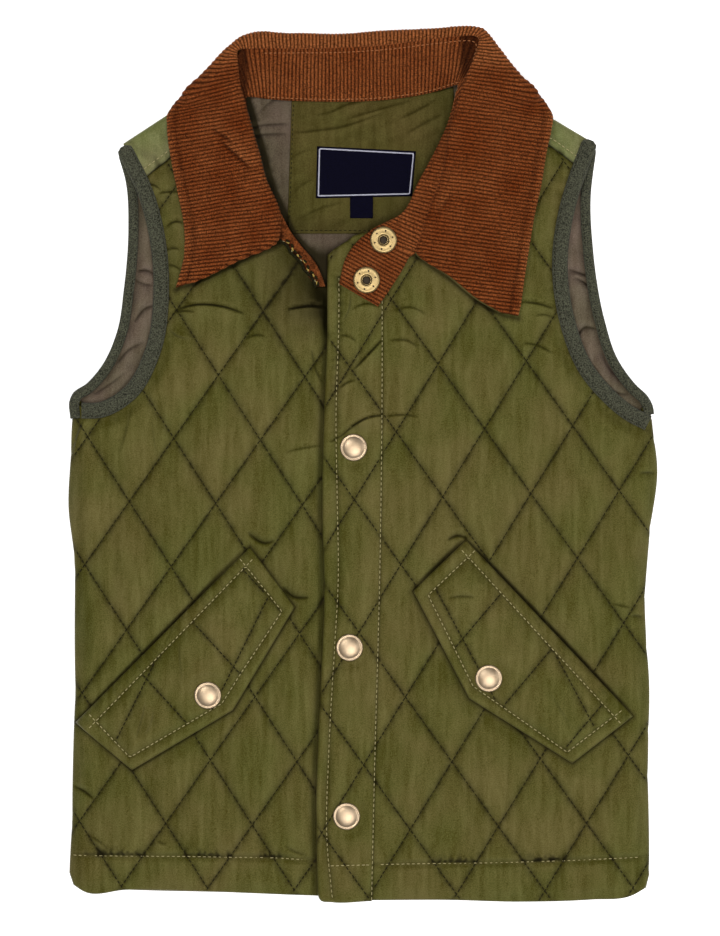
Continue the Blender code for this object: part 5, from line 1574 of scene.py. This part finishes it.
edge_top = FRONT_LOW + FRONT_WALL
lining_level = LINING_LOW + LINING_WALL
make_binding("binding_front_right", arm_right, 1, BINDING_WIDTH, front_right_low,
             lambda x, y: max(edge_top, front_right_low(x, y) + FRONT_WALL), 101)
make_binding("binding_front_left", arm_left, -1, BINDING_WIDTH, front_left_low,
             lambda x, y: max(edge_top, front_left_low(x, y) + FRONT_WALL), 102)
make_binding("binding_back_right", back_arm_right, 1, BINDING_WIDTH_BACK, lambda x, y: 0.0,
             lambda x, y: lining_level + UNDERARM_RISE * ramp((38 - y) / 5), 103)
make_binding("binding_back_left", back_arm_left, -1, BINDING_WIDTH_BACK, lambda x, y: 0.0,
             lambda x, y: lining_level + UNDERARM_RISE * ramp((36 - y) / 5), 104)


# The collar is rust-brown corduroy with ribs two millimetres apart that run across it. Its fall rolls
# over at the back and lies on the fronts in two pointed leaves, faced below with the green nylon.
FallRow = namedtuple("FallRow", "seam_x seam_y seam_z edge_x edge_y edge_z rise tail last_on_top")
FALL = [
    FallRow(-94.5, 97.2, 11.2, -101, 95, 11.2, 0, 0, 5),
    FallRow(-84.8, 101, 11.4, -99.8, 99.2, 11.2, 0.2, 0, 5),
    FallRow(-66.4, 110.7, 12.2, -97.6, 106.9, 11.1, 0.6, 0, 5),
    FallRow(-46, 121, 13.2, -96.4, 114.6, 11, 2.2, 0, 5),
    FallRow(-44.9, 127.6, 13.4, -96.2, 121, 11, 2.8, 0, 5),
    FallRow(-45.2, 134.5, 13.4, -96.5, 127.4, 10.9, 3.2, 0, 5),
    FallRow(-52.8, 152.8, 13.2, -99.7, 144.9, 10.8, 3.4, 0, 5),
    FallRow(-58.2, 172.3, 13.2, -103.5, 164, 10.6, 3.4, 0, 5),
    FallRow(-62.8, 189, 13.6, -105.7, 182, 10.4, 3, 0, 5),
    FallRow(-65.4, 199, 14, -104.6, 190.5, 9.8, 2.2, 0, 5),
    FallRow(-66.3, 206, 14.2, -97.9, 198.5, 3, 1.4, 2, 4),
    FallRow(-67, 212, 13.8, -88.2, 208.7, 0, 1, 8, 3),
    FallRow(-67.5, 217.6, 12.8, -80.9, 216.8, 0, 0.8, 9, 2),
    FallRow(-67.9, 221, 11.6, -75.8, 222.8, 0, 0.8, 10, 2),
    FallRow(-67.2, 223.2, 10.6, -71.2, 227.2, 0, 0.6, 12, 2),
    FallRow(-64.8, 223.9, 9.4, -67, 230.7, 0, 0.6, 14, 2),
    FallRow(-60.5, 224.1, 8, -61.3, 233.1, 0, 0.6, 17, 2),
    FallRow(-53.5, 224.4, 7, -54.5, 234.2, 0, 0.6, 20, 2),
    FallRow(-37, 224.2, 6.2, -37.3, 233.3, 0, 0.6, 33, 2),
    FallRow(-12.4, 224.6, 6.2, -12.4, 232.9, 0, 0.6, 33.5, 2),
    FallRow(11.9, 226.1, 6.2, 11.9, 234.7, 0, 0.6, 34, 2),
    FallRow(41, 229.9, 6.8, 41.6, 236, 0, 0.6, 26, 2),
    FallRow(52, 230.8, 9.4, 53.5, 236.8, 0, 0.6, 19, 2),
    FallRow(57.5, 231, 11.2, 60.5, 236.3, 0, 0.6, 15, 2),
    FallRow(61, 230.4, 12.4, 66, 234.4, 0, 0.6, 12, 2),
    FallRow(62.4, 228.8, 13.4, 69.3, 230.3, 0, 0.7, 11, 2),
    FallRow(62, 226, 14.2, 72.6, 225.6, 0, 0.8, 10, 2),
    FallRow(60.6, 221, 15.4, 77.6, 218.9, 0, 0.8, 10, 2),
    FallRow(57.2, 212.8, 17.2, 85.6, 208.6, 0, 1, 8, 3),
    FallRow(54.2, 206, 18, 94.2, 200, 3, 1, 2, 4),
    FallRow(51.5, 197.5, 18.4, 101.9, 189.6, 9.6, 0.8, 0, 5),
    FallRow(48.5, 188, 18.4, 101.8, 181, 10.2, 0.6, 0, 5),
    FallRow(46, 177.7, 18.2, 99.4, 170, 10.6, 0.6, 0, 5),
    FallRow(43, 158.8, 16.8, 96.3, 151, 11, 0.6, 0, 5),
    FallRow(37, 141.5, 15.2, 92.4, 133, 11.6, 0.6, 0, 5),
    FallRow(31, 124.2, 13.8, 89.6, 116, 12.2, 0.6, 0, 5),
    FallRow(28.4, 114.5, 13.2, 88, 106, 12.4, 0.6, 0, 5),
    FallRow(47, 101, 12.8, 86.5, 95.4, 12.5, 0.3, 0, 5),
    FallRow(63.2, 88, 12.6, 85, 84.9, 12.5, 0.1, 0, 5),
    FallRow(74.5, 81.5, 12.5, 83.7, 79.8, 12.5, 0, 0, 5),
]
ROLL_RADIUS = 2.7
ROLLED_SHARES = np.array([0, 0.03, 0.13, 0.45, 0.8, 1])
FLAT_SHARES = np.array([0, 0.15, 0.33, 0.55, 0.8, 1])
FLAT_RISE = 0.6
COLLAR_WALL = 2.2
COLLAR_EDGE = 1.4
COLLAR_COLUMNS = 40
RIB_PITCH = 2.0
RIB_HEIGHT = 0.5
RIB_ROWS = 6
FACING_LIP = 1.8
PILE_SIZE = 0.7
WORN_SIZE = 16.0
LEAF_SEAM_INSET = 5.0
LEAF_FOLDS = [
    Fold([(-76.5, 175), (-68, 167), (-59, 158.5)], 2.2, 0.9, 6.0),
    Fold([(-81, 181.5), (-75, 177.5), (-69, 173)], 1.3, 0.8, 4.0),
    Fold([(39.5, 135), (43, 140), (47.5, 146.5)], 1.2, 0.9, 4.0),
]

# Corduroy has a short cotton pile in ribs: matt, painted dark between the ribs as painted shade, and paler
# where it is rubbed. Painted shade also darkens it in seams, folds and corners, and a painted highlight
# lightens the ridges of the leaves' folds. Its fibres are drawn coarser than they are.
corduroy, cord_tree, cord_shader, cord_place = new_material("rust_corduroy", {
    "Roughness": 0.95, "Sheen Weight": 0.08, "Sheen Roughness": 0.5, "Sheen Tint": linear("#d8925c"),
    "Specular IOR Level": 0.05,
})
painted_rib_shade = add_node(cord_tree, "ShaderNodeAttribute", {"attribute_name": "painted_rib_shade"}, {})
wear_and_ridge_highlight = add_node(cord_tree, "ShaderNodeAttribute", {"attribute_name": "wear_and_ridge_highlight"}, {})
pile = add_node(cord_tree, "ShaderNodeTexNoise", {}, {
    "Vector": cord_place, "Scale": 1 / (PILE_SIZE * MM), "Detail": 2.0, "Roughness": 0.7,
})
worn = add_node(cord_tree, "ShaderNodeTexNoise", {}, {
    "Vector": cord_place, "Scale": 1 / (WORN_SIZE * MM), "Detail": 2.0,
})
wear_and_highlight_share = add_node(cord_tree, "ShaderNodeMath", {"operation": "ADD"}, {
    0: worn.outputs[0], 1: wear_and_ridge_highlight.outputs["Fac"],
})
crest = add_node(cord_tree, "ShaderNodeMix", {"data_type": "RGBA"}, {
    0: wear_and_highlight_share.outputs[0], 6: linear("#632a0b"), 7: linear("#8f532c"),
})
lit = add_node(cord_tree, "ShaderNodeMix", {"data_type": "RGBA"}, {
    0: painted_rib_shade.outputs["Fac"], 6: linear("#270e03"), 7: crest.outputs[2],
})
pile_shade = add_node(cord_tree, "ShaderNodeMapRange", {}, {
    "Value": pile.outputs[0], "From Min": 0.3, "From Max": 0.7, "To Min": 0.1, "To Max": 1.9,
})
cord_colour = add_node(cord_tree, "ShaderNodeMix", {"data_type": "RGBA", "blend_type": "MULTIPLY"}, {
    0: 1.0, 6: lit.outputs[2], 7: pile_shade.outputs[0],
})
cord_tree.links.new(cord_colour.outputs[2], cord_shader.inputs["Base Color"])
cord_bump = add_node(cord_tree, "ShaderNodeBump", {}, {
    "Height": pile.outputs[0], "Strength": 0.7, "Distance": 0.4 * MM,
})
cord_tree.links.new(cord_bump.outputs[0], cord_shader.inputs["Normal"])


def corduroy_sheet(name, grid, press, painted_shade, wear_and_ridge_highlight, lip, under):
    """Ribbed cloth about a grid of points, with rounded edges and a coarser under side."""
    along, across = np.gradient(grid, axis=0), np.gradient(grid, axis=1)
    normals = np.cross(along, across)
    normals /= np.linalg.norm(normals, axis=2)[:, :, None]
    way = across / np.linalg.norm(across, axis=2)[:, :, None]
    forward = np.diff(grid, axis=0)
    square = forward - (forward * way[:-1]).sum(axis=2)[:, :, None] * way[:-1]
    shown = slice(2, round(0.45 * grid.shape[1]))
    from_start = np.concatenate([[0], np.cumsum(np.linalg.norm(square[:, shown], axis=2).mean(axis=1))])
    steps = np.linalg.norm(np.diff(grid, axis=1), axis=2)
    from_seam = np.hstack([np.zeros((len(grid), 1)), np.cumsum(steps, axis=1)])
    edge_gap = np.minimum(from_seam, from_seam[:, -1:] - from_seam)
    end_gap = np.minimum(from_start, from_start[-1] - from_start)[:, None]
    rounding = np.clip(np.minimum(edge_gap, end_gap) / COLLAR_EDGE, 0.02, 1)
    rounding = np.sqrt(1 - (1 - rounding) ** 2)
    wander = 0.35 * ripple(grid[..., 0], grid[..., 1], 15, 15, 110)
    ribs = np.abs(np.sin(math.pi * (from_start[:, None] + wander) / RIB_PITCH))
    worn_height = 1 + 0.25 * ripple(grid[..., 0] * 3, grid[..., 1] * 3, 5, 5, 111)
    lift = (COLLAR_WALL / 2 + RIB_HEIGHT * ribs * worn_height) * rounding + press
    outer = grid + normals * lift[..., None]
    inner = grid - normals * (COLLAR_WALL / 2 * rounding)[..., None]
    inner[:, 0] -= way[:, 0] * lip[:, None]
    rows, columns = grid.shape[:2]
    index = np.arange(rows * columns).reshape(rows, columns)
    row_marks = [*range(0, rows - 1, RIB_ROWS), rows - 1]
    column_marks = [*range(0, columns - 1, 2), columns - 1]
    sampled = np.ix_(row_marks, column_marks)
    inner = inner[sampled]
    lower = rows * columns + np.arange(len(row_marks) * len(column_marks)).reshape(inner.shape[:2])
    quads, under_quads = (
        np.stack([k[:-1, :-1], k[1:, :-1], k[1:, 1:], k[:-1, 1:]], axis=-1).reshape(-1, 4)
        for k in (index, lower)
    )
    walls = []
    for fine, marks, coarse in (
        (index[:, 0], row_marks, lower[:, 0]),
        (index[-1], column_marks, lower[-1]),
        (index[::-1, -1], [rows - 1 - mark for mark in row_marks[::-1]], lower[::-1, -1]),
        (index[0, ::-1], [columns - 1 - mark for mark in column_marks[::-1]], lower[0, ::-1]),
    ):
        for start, end, near, far in zip(marks[:-1], marks[1:], coarse[:-1], coarse[1:]):
            walls.append([int(k) for k in (*fine[start:end + 1][::-1], near, far)])
    points = np.vstack([outer.reshape(-1, 3), inner.reshape(-1, 3)])
    faces = quads.tolist() + walls + under_quads[:, ::-1].tolist()
    piece = make_piece(name, points, faces, corduroy, under)
    kinds = np.zeros(len(faces), np.int32)
    kinds[len(quads):len(quads) + len(row_marks) - 1] = 1
    kinds[len(quads) + len(walls):] = 1
    piece.data.polygons.foreach_set("material_index", kinds)
    # Painted shade darkens the ribs' valleys and, through the shade given, seams, folds and corners; the rub
    # values hold wear and painted highlights on fold ridges.
    clear = 1 - np.clip(painted_shade, 0, 1)
    for attribute, above, below in (
        ("painted_rib_shade", ribs ** 1.2 * clear, 0.7 * clear[sampled]),
        ("wear_and_ridge_highlight", wear_and_ridge_highlight, wear_and_ridge_highlight[sampled]),
    ):
        shades = np.concatenate([above.ravel(), below.ravel()])
        mesh_attribute = piece.data.attributes.new(attribute, "FLOAT", "POINT")
        mesh_attribute.data.foreach_set("value", shades.astype(np.float32))
    mark_cloth(piece)
    return piece, outer


def fall_section(row):
    """Middle of the fall's wall from the stand to its free edge, flat or turned under at the edge."""
    seam = np.array([row.seam_x, row.seam_y])
    reach = np.array([row.edge_x, row.edge_y]) - seam
    length = np.linalg.norm(reach)
    peak = row.seam_z + row.rise
    if row.tail == 0:
        flatness = 1 - min(row.rise / FLAT_RISE, 1)
        shares = ROLLED_SHARES + (FLAT_SHARES - ROLLED_SHARES) * flatness
        falling = ramp((shares - ROLLED_SHARES[2]) / (1 - ROLLED_SHARES[2]))
        heights = np.where(shares > 0, peak, row.seam_z) * (1 - falling) + row.edge_z * falling
        return [(*(seam + reach * share), height) for share, height in zip(shares, heights)]
    foot = COLLAR_WALL / 2 + RIB_HEIGHT
    shares = (np.arange(row.last_on_top + 1) / row.last_on_top) ** (row.last_on_top / 2)
    path = [(share * (length - ROLL_RADIUS), row.seam_z + row.rise * min(1, 3 * share)) for share in shares]
    outermost = (length - foot, (peak + foot) / 2)
    ends = {
        2: [outermost, (length - ROLL_RADIUS, foot), (length - row.tail, foot)],
        3: [outermost, (length - row.tail, foot)],
        4: [(length - foot, row.edge_z)],
    }
    path += ends[row.last_on_top]
    return [(*(seam + reach / length * across), height) for across, height in path]


fall_rows = [smooth_curve(fall_section(row), 1.0, COLLAR_COLUMNS) for row in FALL]
fall_grid = smooth_curve(fall_rows, RIB_PITCH / RIB_ROWS)
fall_grid[..., 2] = np.maximum(fall_grid[..., 2], COLLAR_WALL / 2 + RIB_HEIGHT)
fall_x, fall_y = fall_grid[..., 0], fall_grid[..., 1]
fall_steps = np.linalg.norm(np.diff(fall_grid, axis=1), axis=2)
from_edge = np.hstack([np.cumsum(fall_steps[:, ::-1], axis=1)[:, ::-1], np.zeros((len(fall_grid), 1))])
on_leaf = ramp((fall_grid[:, -1:, 2] - 8) / 1.5)
leaf_seam = on_leaf * np.exp(-(from_edge - LEAF_SEAM_INSET) ** 2)
leaf_folds = on_leaf * fold_height(LEAF_FOLDS, fall_x, fall_y)
fall_press = leaf_folds - 0.6 * leaf_seam
fall_press = fall_press + 0.3 * on_leaf * np.exp(-((from_edge - LEAF_SEAM_INSET + 2.4) / 1.4) ** 2)
# Painted shade in the groove of the leaves' seam and in their folds; the rub is wear at the back roll and the
# free edges, with a painted highlight on the fold ridges.
fall_painted_shade = 0.45 * leaf_seam + 1.3 * on_leaf * fold_painted_shade(LEAF_FOLDS, fall_x, fall_y)
fall_wear_and_ridge_highlight = 0.8 * ramp((fall_y - 208) / 16) + 0.7 * on_leaf * np.exp(-from_edge / 1.2) - 0.15
fall_wear_and_ridge_highlight = fall_wear_and_ridge_highlight + 0.25 * leaf_folds
front_edge = fall_y[:, 0] < np.where(fall_x[:, 0] < 0, 121.5, 115)
fall = corduroy_sheet("corduroy_fall", fall_grid, fall_press, fall_painted_shade, fall_wear_and_ridge_highlight,
                      FACING_LIP * front_edge, green_nylon)[0]
sew_on(fall, "corduroy", "collar_fall")


# The stand is the same corduroy. It goes round the neck from under the right leaf to the tab with the
# two snap sockets, and is sewn to the fall and to the neck with rust-coloured thread. Its right end
# is a narrow strip, frayed along the seam.
StandRow = namedtuple("StandRow", "neck_x neck_y neck_z top_x top_y top_z")
STAND = [
    StandRow(-25.4, 95.6, 9.2, -20.4, 95.8, 10.8),
    StandRow(-28.8, 100.4, 9.6, -22, 100.6, 11.4),
    StandRow(-33.6, 108.4, 9.6, -25.8, 108.6, 11.4),
    StandRow(-40, 116, 9.8, -33.6, 118, 11.6),
    StandRow(-45.6, 122.6, 10.4, -39.2, 125.6, 11.8),
    StandRow(-47.4, 130.2, 9.4, -42.6, 131.8, 11.8),
    StandRow(-48.4, 137.5, 8, -46.6, 138.5, 11.6),
    StandRow(-53, 151.8, 7, -54, 152.8, 11.8),
    StandRow(-58.6, 171, 6.8, -59.4, 172.3, 11.8),
    StandRow(-62.2, 183.2, 6.8, -63, 184.6, 12),
    StandRow(-64, 193, 6.8, -66, 196, 12),
    StandRow(-62.6, 198.2, 6.8, -66.8, 213, 10.8),
    StandRow(-58, 198, 6.7, -63, 221.8, 8.4),
    StandRow(-50, 197, 6.6, -51, 222.4, 6.3),
    StandRow(-24.3, 195.8, 6.6, -24, 222.8, 6.2),
    StandRow(10.8, 196.6, 6.6, 10.5, 225, 6.2),
    StandRow(40, 201.4, 6.8, 43, 228.6, 6.8),
    StandRow(50, 204.5, 8.6, 56, 229.8, 9.8),
    StandRow(51.6, 204.6, 9.6, 61.4, 229, 12.2),
    StandRow(51.8, 202, 10.6, 60.2, 220.8, 14.2),
    StandRow(50.5, 197, 11, 54.6, 207.6, 16.2),
    StandRow(48.5, 188.5, 11.2, 49, 191, 16.8),
    StandRow(45.9, 181, 11.4, 46.2, 182, 16.6),
    StandRow(40, 170, 12, 43, 170, 16),
    StandRow(29.7, 151.7, 12.4, 38.5, 151, 15),
    StandRow(21.1, 135.5, 12.4, 32, 131.5, 13.6),
    StandRow(5.4, 126.9, 12.5, 26.5, 115.5, 12.5),
    StandRow(-3.2, 119.9, 12.5, 22, 106, 12.5),
    StandRow(-9.2, 111.2, 12.5, 16.2, 96.7, 12.5),
    StandRow(-13, 97.2, 12.5, 8.1, 84.8, 12.5),
]
STAND_COLUMNS = 24
STAND_TUCK = 1.2
STAND_PULL = 7.5


def height_on(points):
    """Height, for places seen from above, of the nearest of a set of points."""
    tree = search_tree(points)

    def height(x, y):
        found = [points[tree.find((a, b, 0))[1]][2] for a, b in zip(np.ravel(x), np.ravel(y))]
        return np.reshape(found, np.shape(x))

    return height


stand_rows = [smooth_curve([row[:3], np.mean([row[:3], row[3:]], axis=0), row[3:]], 1.0, STAND_COLUMNS)
              for row in STAND]
stand_grid = smooth_curve(stand_rows, RIB_PITCH / RIB_ROWS)
seam = fall_grid[:, 2] - np.array([0, 0, STAND_TUCK])
seam_gaps = np.linalg.norm(stand_grid[:, -1][:, None] - seam, axis=2)
at_strip = (stand_grid[:, -1, 0] < -19) & (stand_grid[:, -1, 1] < 136)
pull = np.where(at_strip, 0, ramp((STAND_PULL - seam_gaps.min(axis=1)) / 3))
to_seam = (seam[seam_gaps.argmin(axis=1)] - stand_grid[:, -1]) * pull[:, None]
stand_grid = stand_grid + to_seam[:, None] * np.linspace(0, 1, STAND_COLUMNS)[:, None] ** 2
plain = np.zeros(stand_grid.shape[:2])
stand_x, stand_y = stand_grid[..., 0], stand_grid[..., 1]
# Painted shade: near black at the stand's left back corner below the roll, and in a band along its right side
# under the roll edge of the right leaf. The frayed strip at its right end is mottled darker, more towards its
# neck edge.
shaded = ramp((stand_x - 51) / 4) * ramp((stand_y - 205) / 6) + ramp((-60.5 - stand_x) / 4)
frayed_share = ramp((132 - stand_y) / 4) * (stand_x < -19) * (1.2 - 0.8 * np.linspace(0, 1, STAND_COLUMNS))
shaded = shaded + frayed_share * (0.6 + 1.1 * ripple(stand_x, stand_y, 2, 2, 112))
stand, stand_face = corduroy_sheet(
    "corduroy_stand", stand_grid, plain, 0.85 * shaded, plain, plain[:, 0], corduroy
)
sew_on(stand, "corduroy", "collar_stand")
rust_thread = thread_material("rust_thread", "#b5764a")
at_back = (np.abs(stand_grid[:, 0, 0]) < 52) & (stand_grid[:, 0, 1] > 190)
back_face = stand_face[at_back]
stand_stitches = sew("stand_stitches", [back_face[:, 1, :2], back_face[:, -4, :2]],
                     height_on(back_face.reshape(-1, 3)), rust_thread, "corduroy", 2.5, 1.6, 0.45)
at_end = (stand_x[:, 0] < -23) & (stand_y[:, 0] < 122)
loose = 0.9 * ripple(stand_x[at_end][:, :1], stand_y[at_end][:, :1], 3, 3, 113)
end_face = stand_grid[at_end].reshape(-1, 3) + np.array([0, 0, COLLAR_WALL / 2])
ochre_thread = thread_material("ochre_thread", "#b3994f")
Fray = namedtuple("Fray", "kind column thread pitch length width")
frays = [
    Fray("edge", 1, dark_thread, 2.0, 2.6, 1.7),
    Fray("row", 7, ochre_thread, 4.7, 2.3, 1.0),
    Fray("lining", 4, cream_thread, 7.1, 1.6, 0.7),
    Fray("seam", 9, dark_thread, 3.7, 2.6, 1.3),
]
frayed = [
    sew(f"frayed_{fray.kind}", [stand_grid[at_end][:, fray.column, :2] + loose], height_on(end_face),
        fray.thread, "corduroy", fray.pitch, fray.length, fray.width)
    for fray in frays
]


# The snaps are spun brass caps with a rolled rim, aged to a soft satin, and pressed through the
# placket and the flaps. The two on the collar tab are open sockets with a ring of small dents.
SNAP_SIDES = 72
CAP = [(0, 2.3), (1.5, 2.27), (3.0, 2.12), (4.4, 1.85), (5.3, 1.55), (5.75, 1.3), (6.0, 1.22), (6.3, 1.32),
       (6.65, 1.42), (7.0, 1.3), (7.25, 0.95), (7.3, 0.6), (7.15, 0.2), (6.9, 0), (0, 0)]
SOCKET = [(0, 0.3), (2.3, 0.3), (2.6, 0.35), (2.75, 1.2), (2.95, 1.55), (3.3, 1.72), (3.8, 1.7), (4.6, 1.6),
          (5.6, 1.62), (6.2, 1.7), (6.7, 1.55), (7.15, 1.1), (7.3, 0.7), (7.2, 0.25), (6.9, 0), (0, 0)]
SNAPS_COLLAR = [(11.1, 120.7), (1.9, 99.1)]
SOCKET_SEAT = 14.4
CAP_SEAT_RADIUS = 6.0
CAP_SEAT_POINTS = 12
CAP_LIFT = 0.1
DENTS = 6
DENT_START = 0.3
DENT_RING = 5.0
DENT_LEVEL = SOCKET_SEAT + 1.5
DENT = [(0, 0.2), (0.42, 0.17), (0.6, 0.05), (0.6, -0.2), (0, -0.2)]
HOLLOW_LEVEL = SOCKET_SEAT + 0.4
HOLLOW = [(0, 0.12), (1.2, 0.1), (2.2, 0.02), (2.3, -0.2), (0, -0.2)]
TARNISH_SIZE = 3.0


def brass_material(name, dark, light):
    """Brass with a soft satin that tarnish dulls in patches."""
    material, tree, shader, place = new_material(name, {"Roughness": 0.34, "Metallic": 1.0})
    tarnish = add_node(tree, "ShaderNodeTexNoise", {}, {
        "Vector": place, "Scale": 1 / (TARNISH_SIZE * MM), "Detail": 4.0,
    })
    colour = add_node(tree, "ShaderNodeMix", {"data_type": "RGBA"}, {
        0: tarnish.outputs[0], 6: linear(dark), 7: linear(light),
    })
    tree.links.new(colour.outputs[2], shader.inputs["Base Color"])
    dulled = add_node(tree, "ShaderNodeMapRange", {}, {
        "Value": tarnish.outputs[0], "To Min": 0.34, "To Max": 0.5,
    })
    tree.links.new(dulled.outputs[0], shader.inputs["Roughness"])
    return material


cap_brass = brass_material("pale_satin_brass", "#9b8467", "#bda98f")
socket_brass = brass_material("yellow_socket_brass", "#8b744a", "#b59e70")


def spun(name, profile, place, material):
    """Round piece from a profile of radius and height that starts and ends on its axis."""
    angles = np.arange(SNAP_SIDES) * 2 * math.pi / SNAP_SIDES
    rings = [np.column_stack([r * np.cos(angles), r * np.sin(angles), np.full(SNAP_SIDES, z)])
             for r, z in profile[1:-1]]
    points = np.vstack([[(0, 0, profile[0][1])], *rings, [(0, 0, profile[-1][1])]])
    index = 1 + np.arange(len(rings) * SNAP_SIDES).reshape(len(rings), SNAP_SIDES)
    turned = np.roll(index, -1, axis=1)
    faces = np.stack([index[:-1], index[1:], turned[1:], turned[:-1]], axis=-1).reshape(-1, 4).tolist()
    faces += [[0, a, b] for a, b in zip(index[0], turned[0])]
    faces += [[b, a, len(points) - 1] for a, b in zip(index[-1], turned[-1])]
    return make_piece(name, points + np.array(place), [list(map(int, f)) for f in faces], material)


snap_places = [(f"snap_placket_{n}", place, placket_top) for n, place in enumerate(SNAPS_PLACKET, 1)]
snap_places.append(("snap_flap_right", SNAP_FLAP_RIGHT, flap_right_top))
snap_places.append(("snap_flap_left", SNAP_FLAP_LEFT, flap_left_top))
for snap_name, (snap_x, snap_y), surface in snap_places:
    angles = np.arange(CAP_SEAT_POINTS) * 2 * math.pi / CAP_SEAT_POINTS
    rim_x, rim_y = snap_x + CAP_SEAT_RADIUS * np.cos(angles), snap_y + CAP_SEAT_RADIUS * np.sin(angles)
    seat = float(np.max(surface(rim_x, rim_y))) + CAP_LIFT
    cap = spun(f"brass_{snap_name}", CAP, (snap_x, snap_y, seat), cap_brass)
    sew_on(cap, "brass", snap_name)

# The dents and the hollows of the sockets are tarnished and lie in shade, and are drawn in nearly black
# brass: tarnish and painted shade.
dark_metal, dent_tree, dent_shader, dent_place = new_material("shadowed_brass", {
    "Roughness": 0.6, "Metallic": 0.6,
})
dark_mottle = add_node(dent_tree, "ShaderNodeTexNoise", {}, {"Vector": dent_place, "Scale": 1 / MM})
dent_colour = add_node(dent_tree, "ShaderNodeMix", {"data_type": "RGBA"}, {
    0: dark_mottle.outputs[0], 6: linear("#1c150b"), 7: linear("#3a2c17"),
})
dent_tree.links.new(dent_colour.outputs[2], dent_shader.inputs["Base Color"])
for number, (snap_x, snap_y) in enumerate(SNAPS_COLLAR, 1):
    socket = spun(f"brass_snap_collar_{number}", SOCKET, (snap_x, snap_y, SOCKET_SEAT), socket_brass)
    sew_on(socket, "brass", f"snap_collar_{number}")
    for dent in range(DENTS):
        angle = dent * 2 * math.pi / DENTS + DENT_START
        place = (snap_x + DENT_RING * math.cos(angle), snap_y + DENT_RING * math.sin(angle), DENT_LEVEL)
        mark = spun(f"socket_{number}_dent_{dent + 1}", DENT, place, dark_metal)
        sew_on(mark, "brass")
    hollow = spun(f"socket_{number}_hollow", HOLLOW, (snap_x, snap_y, HOLLOW_LEVEL), dark_metal)
    sew_on(hollow, "brass")
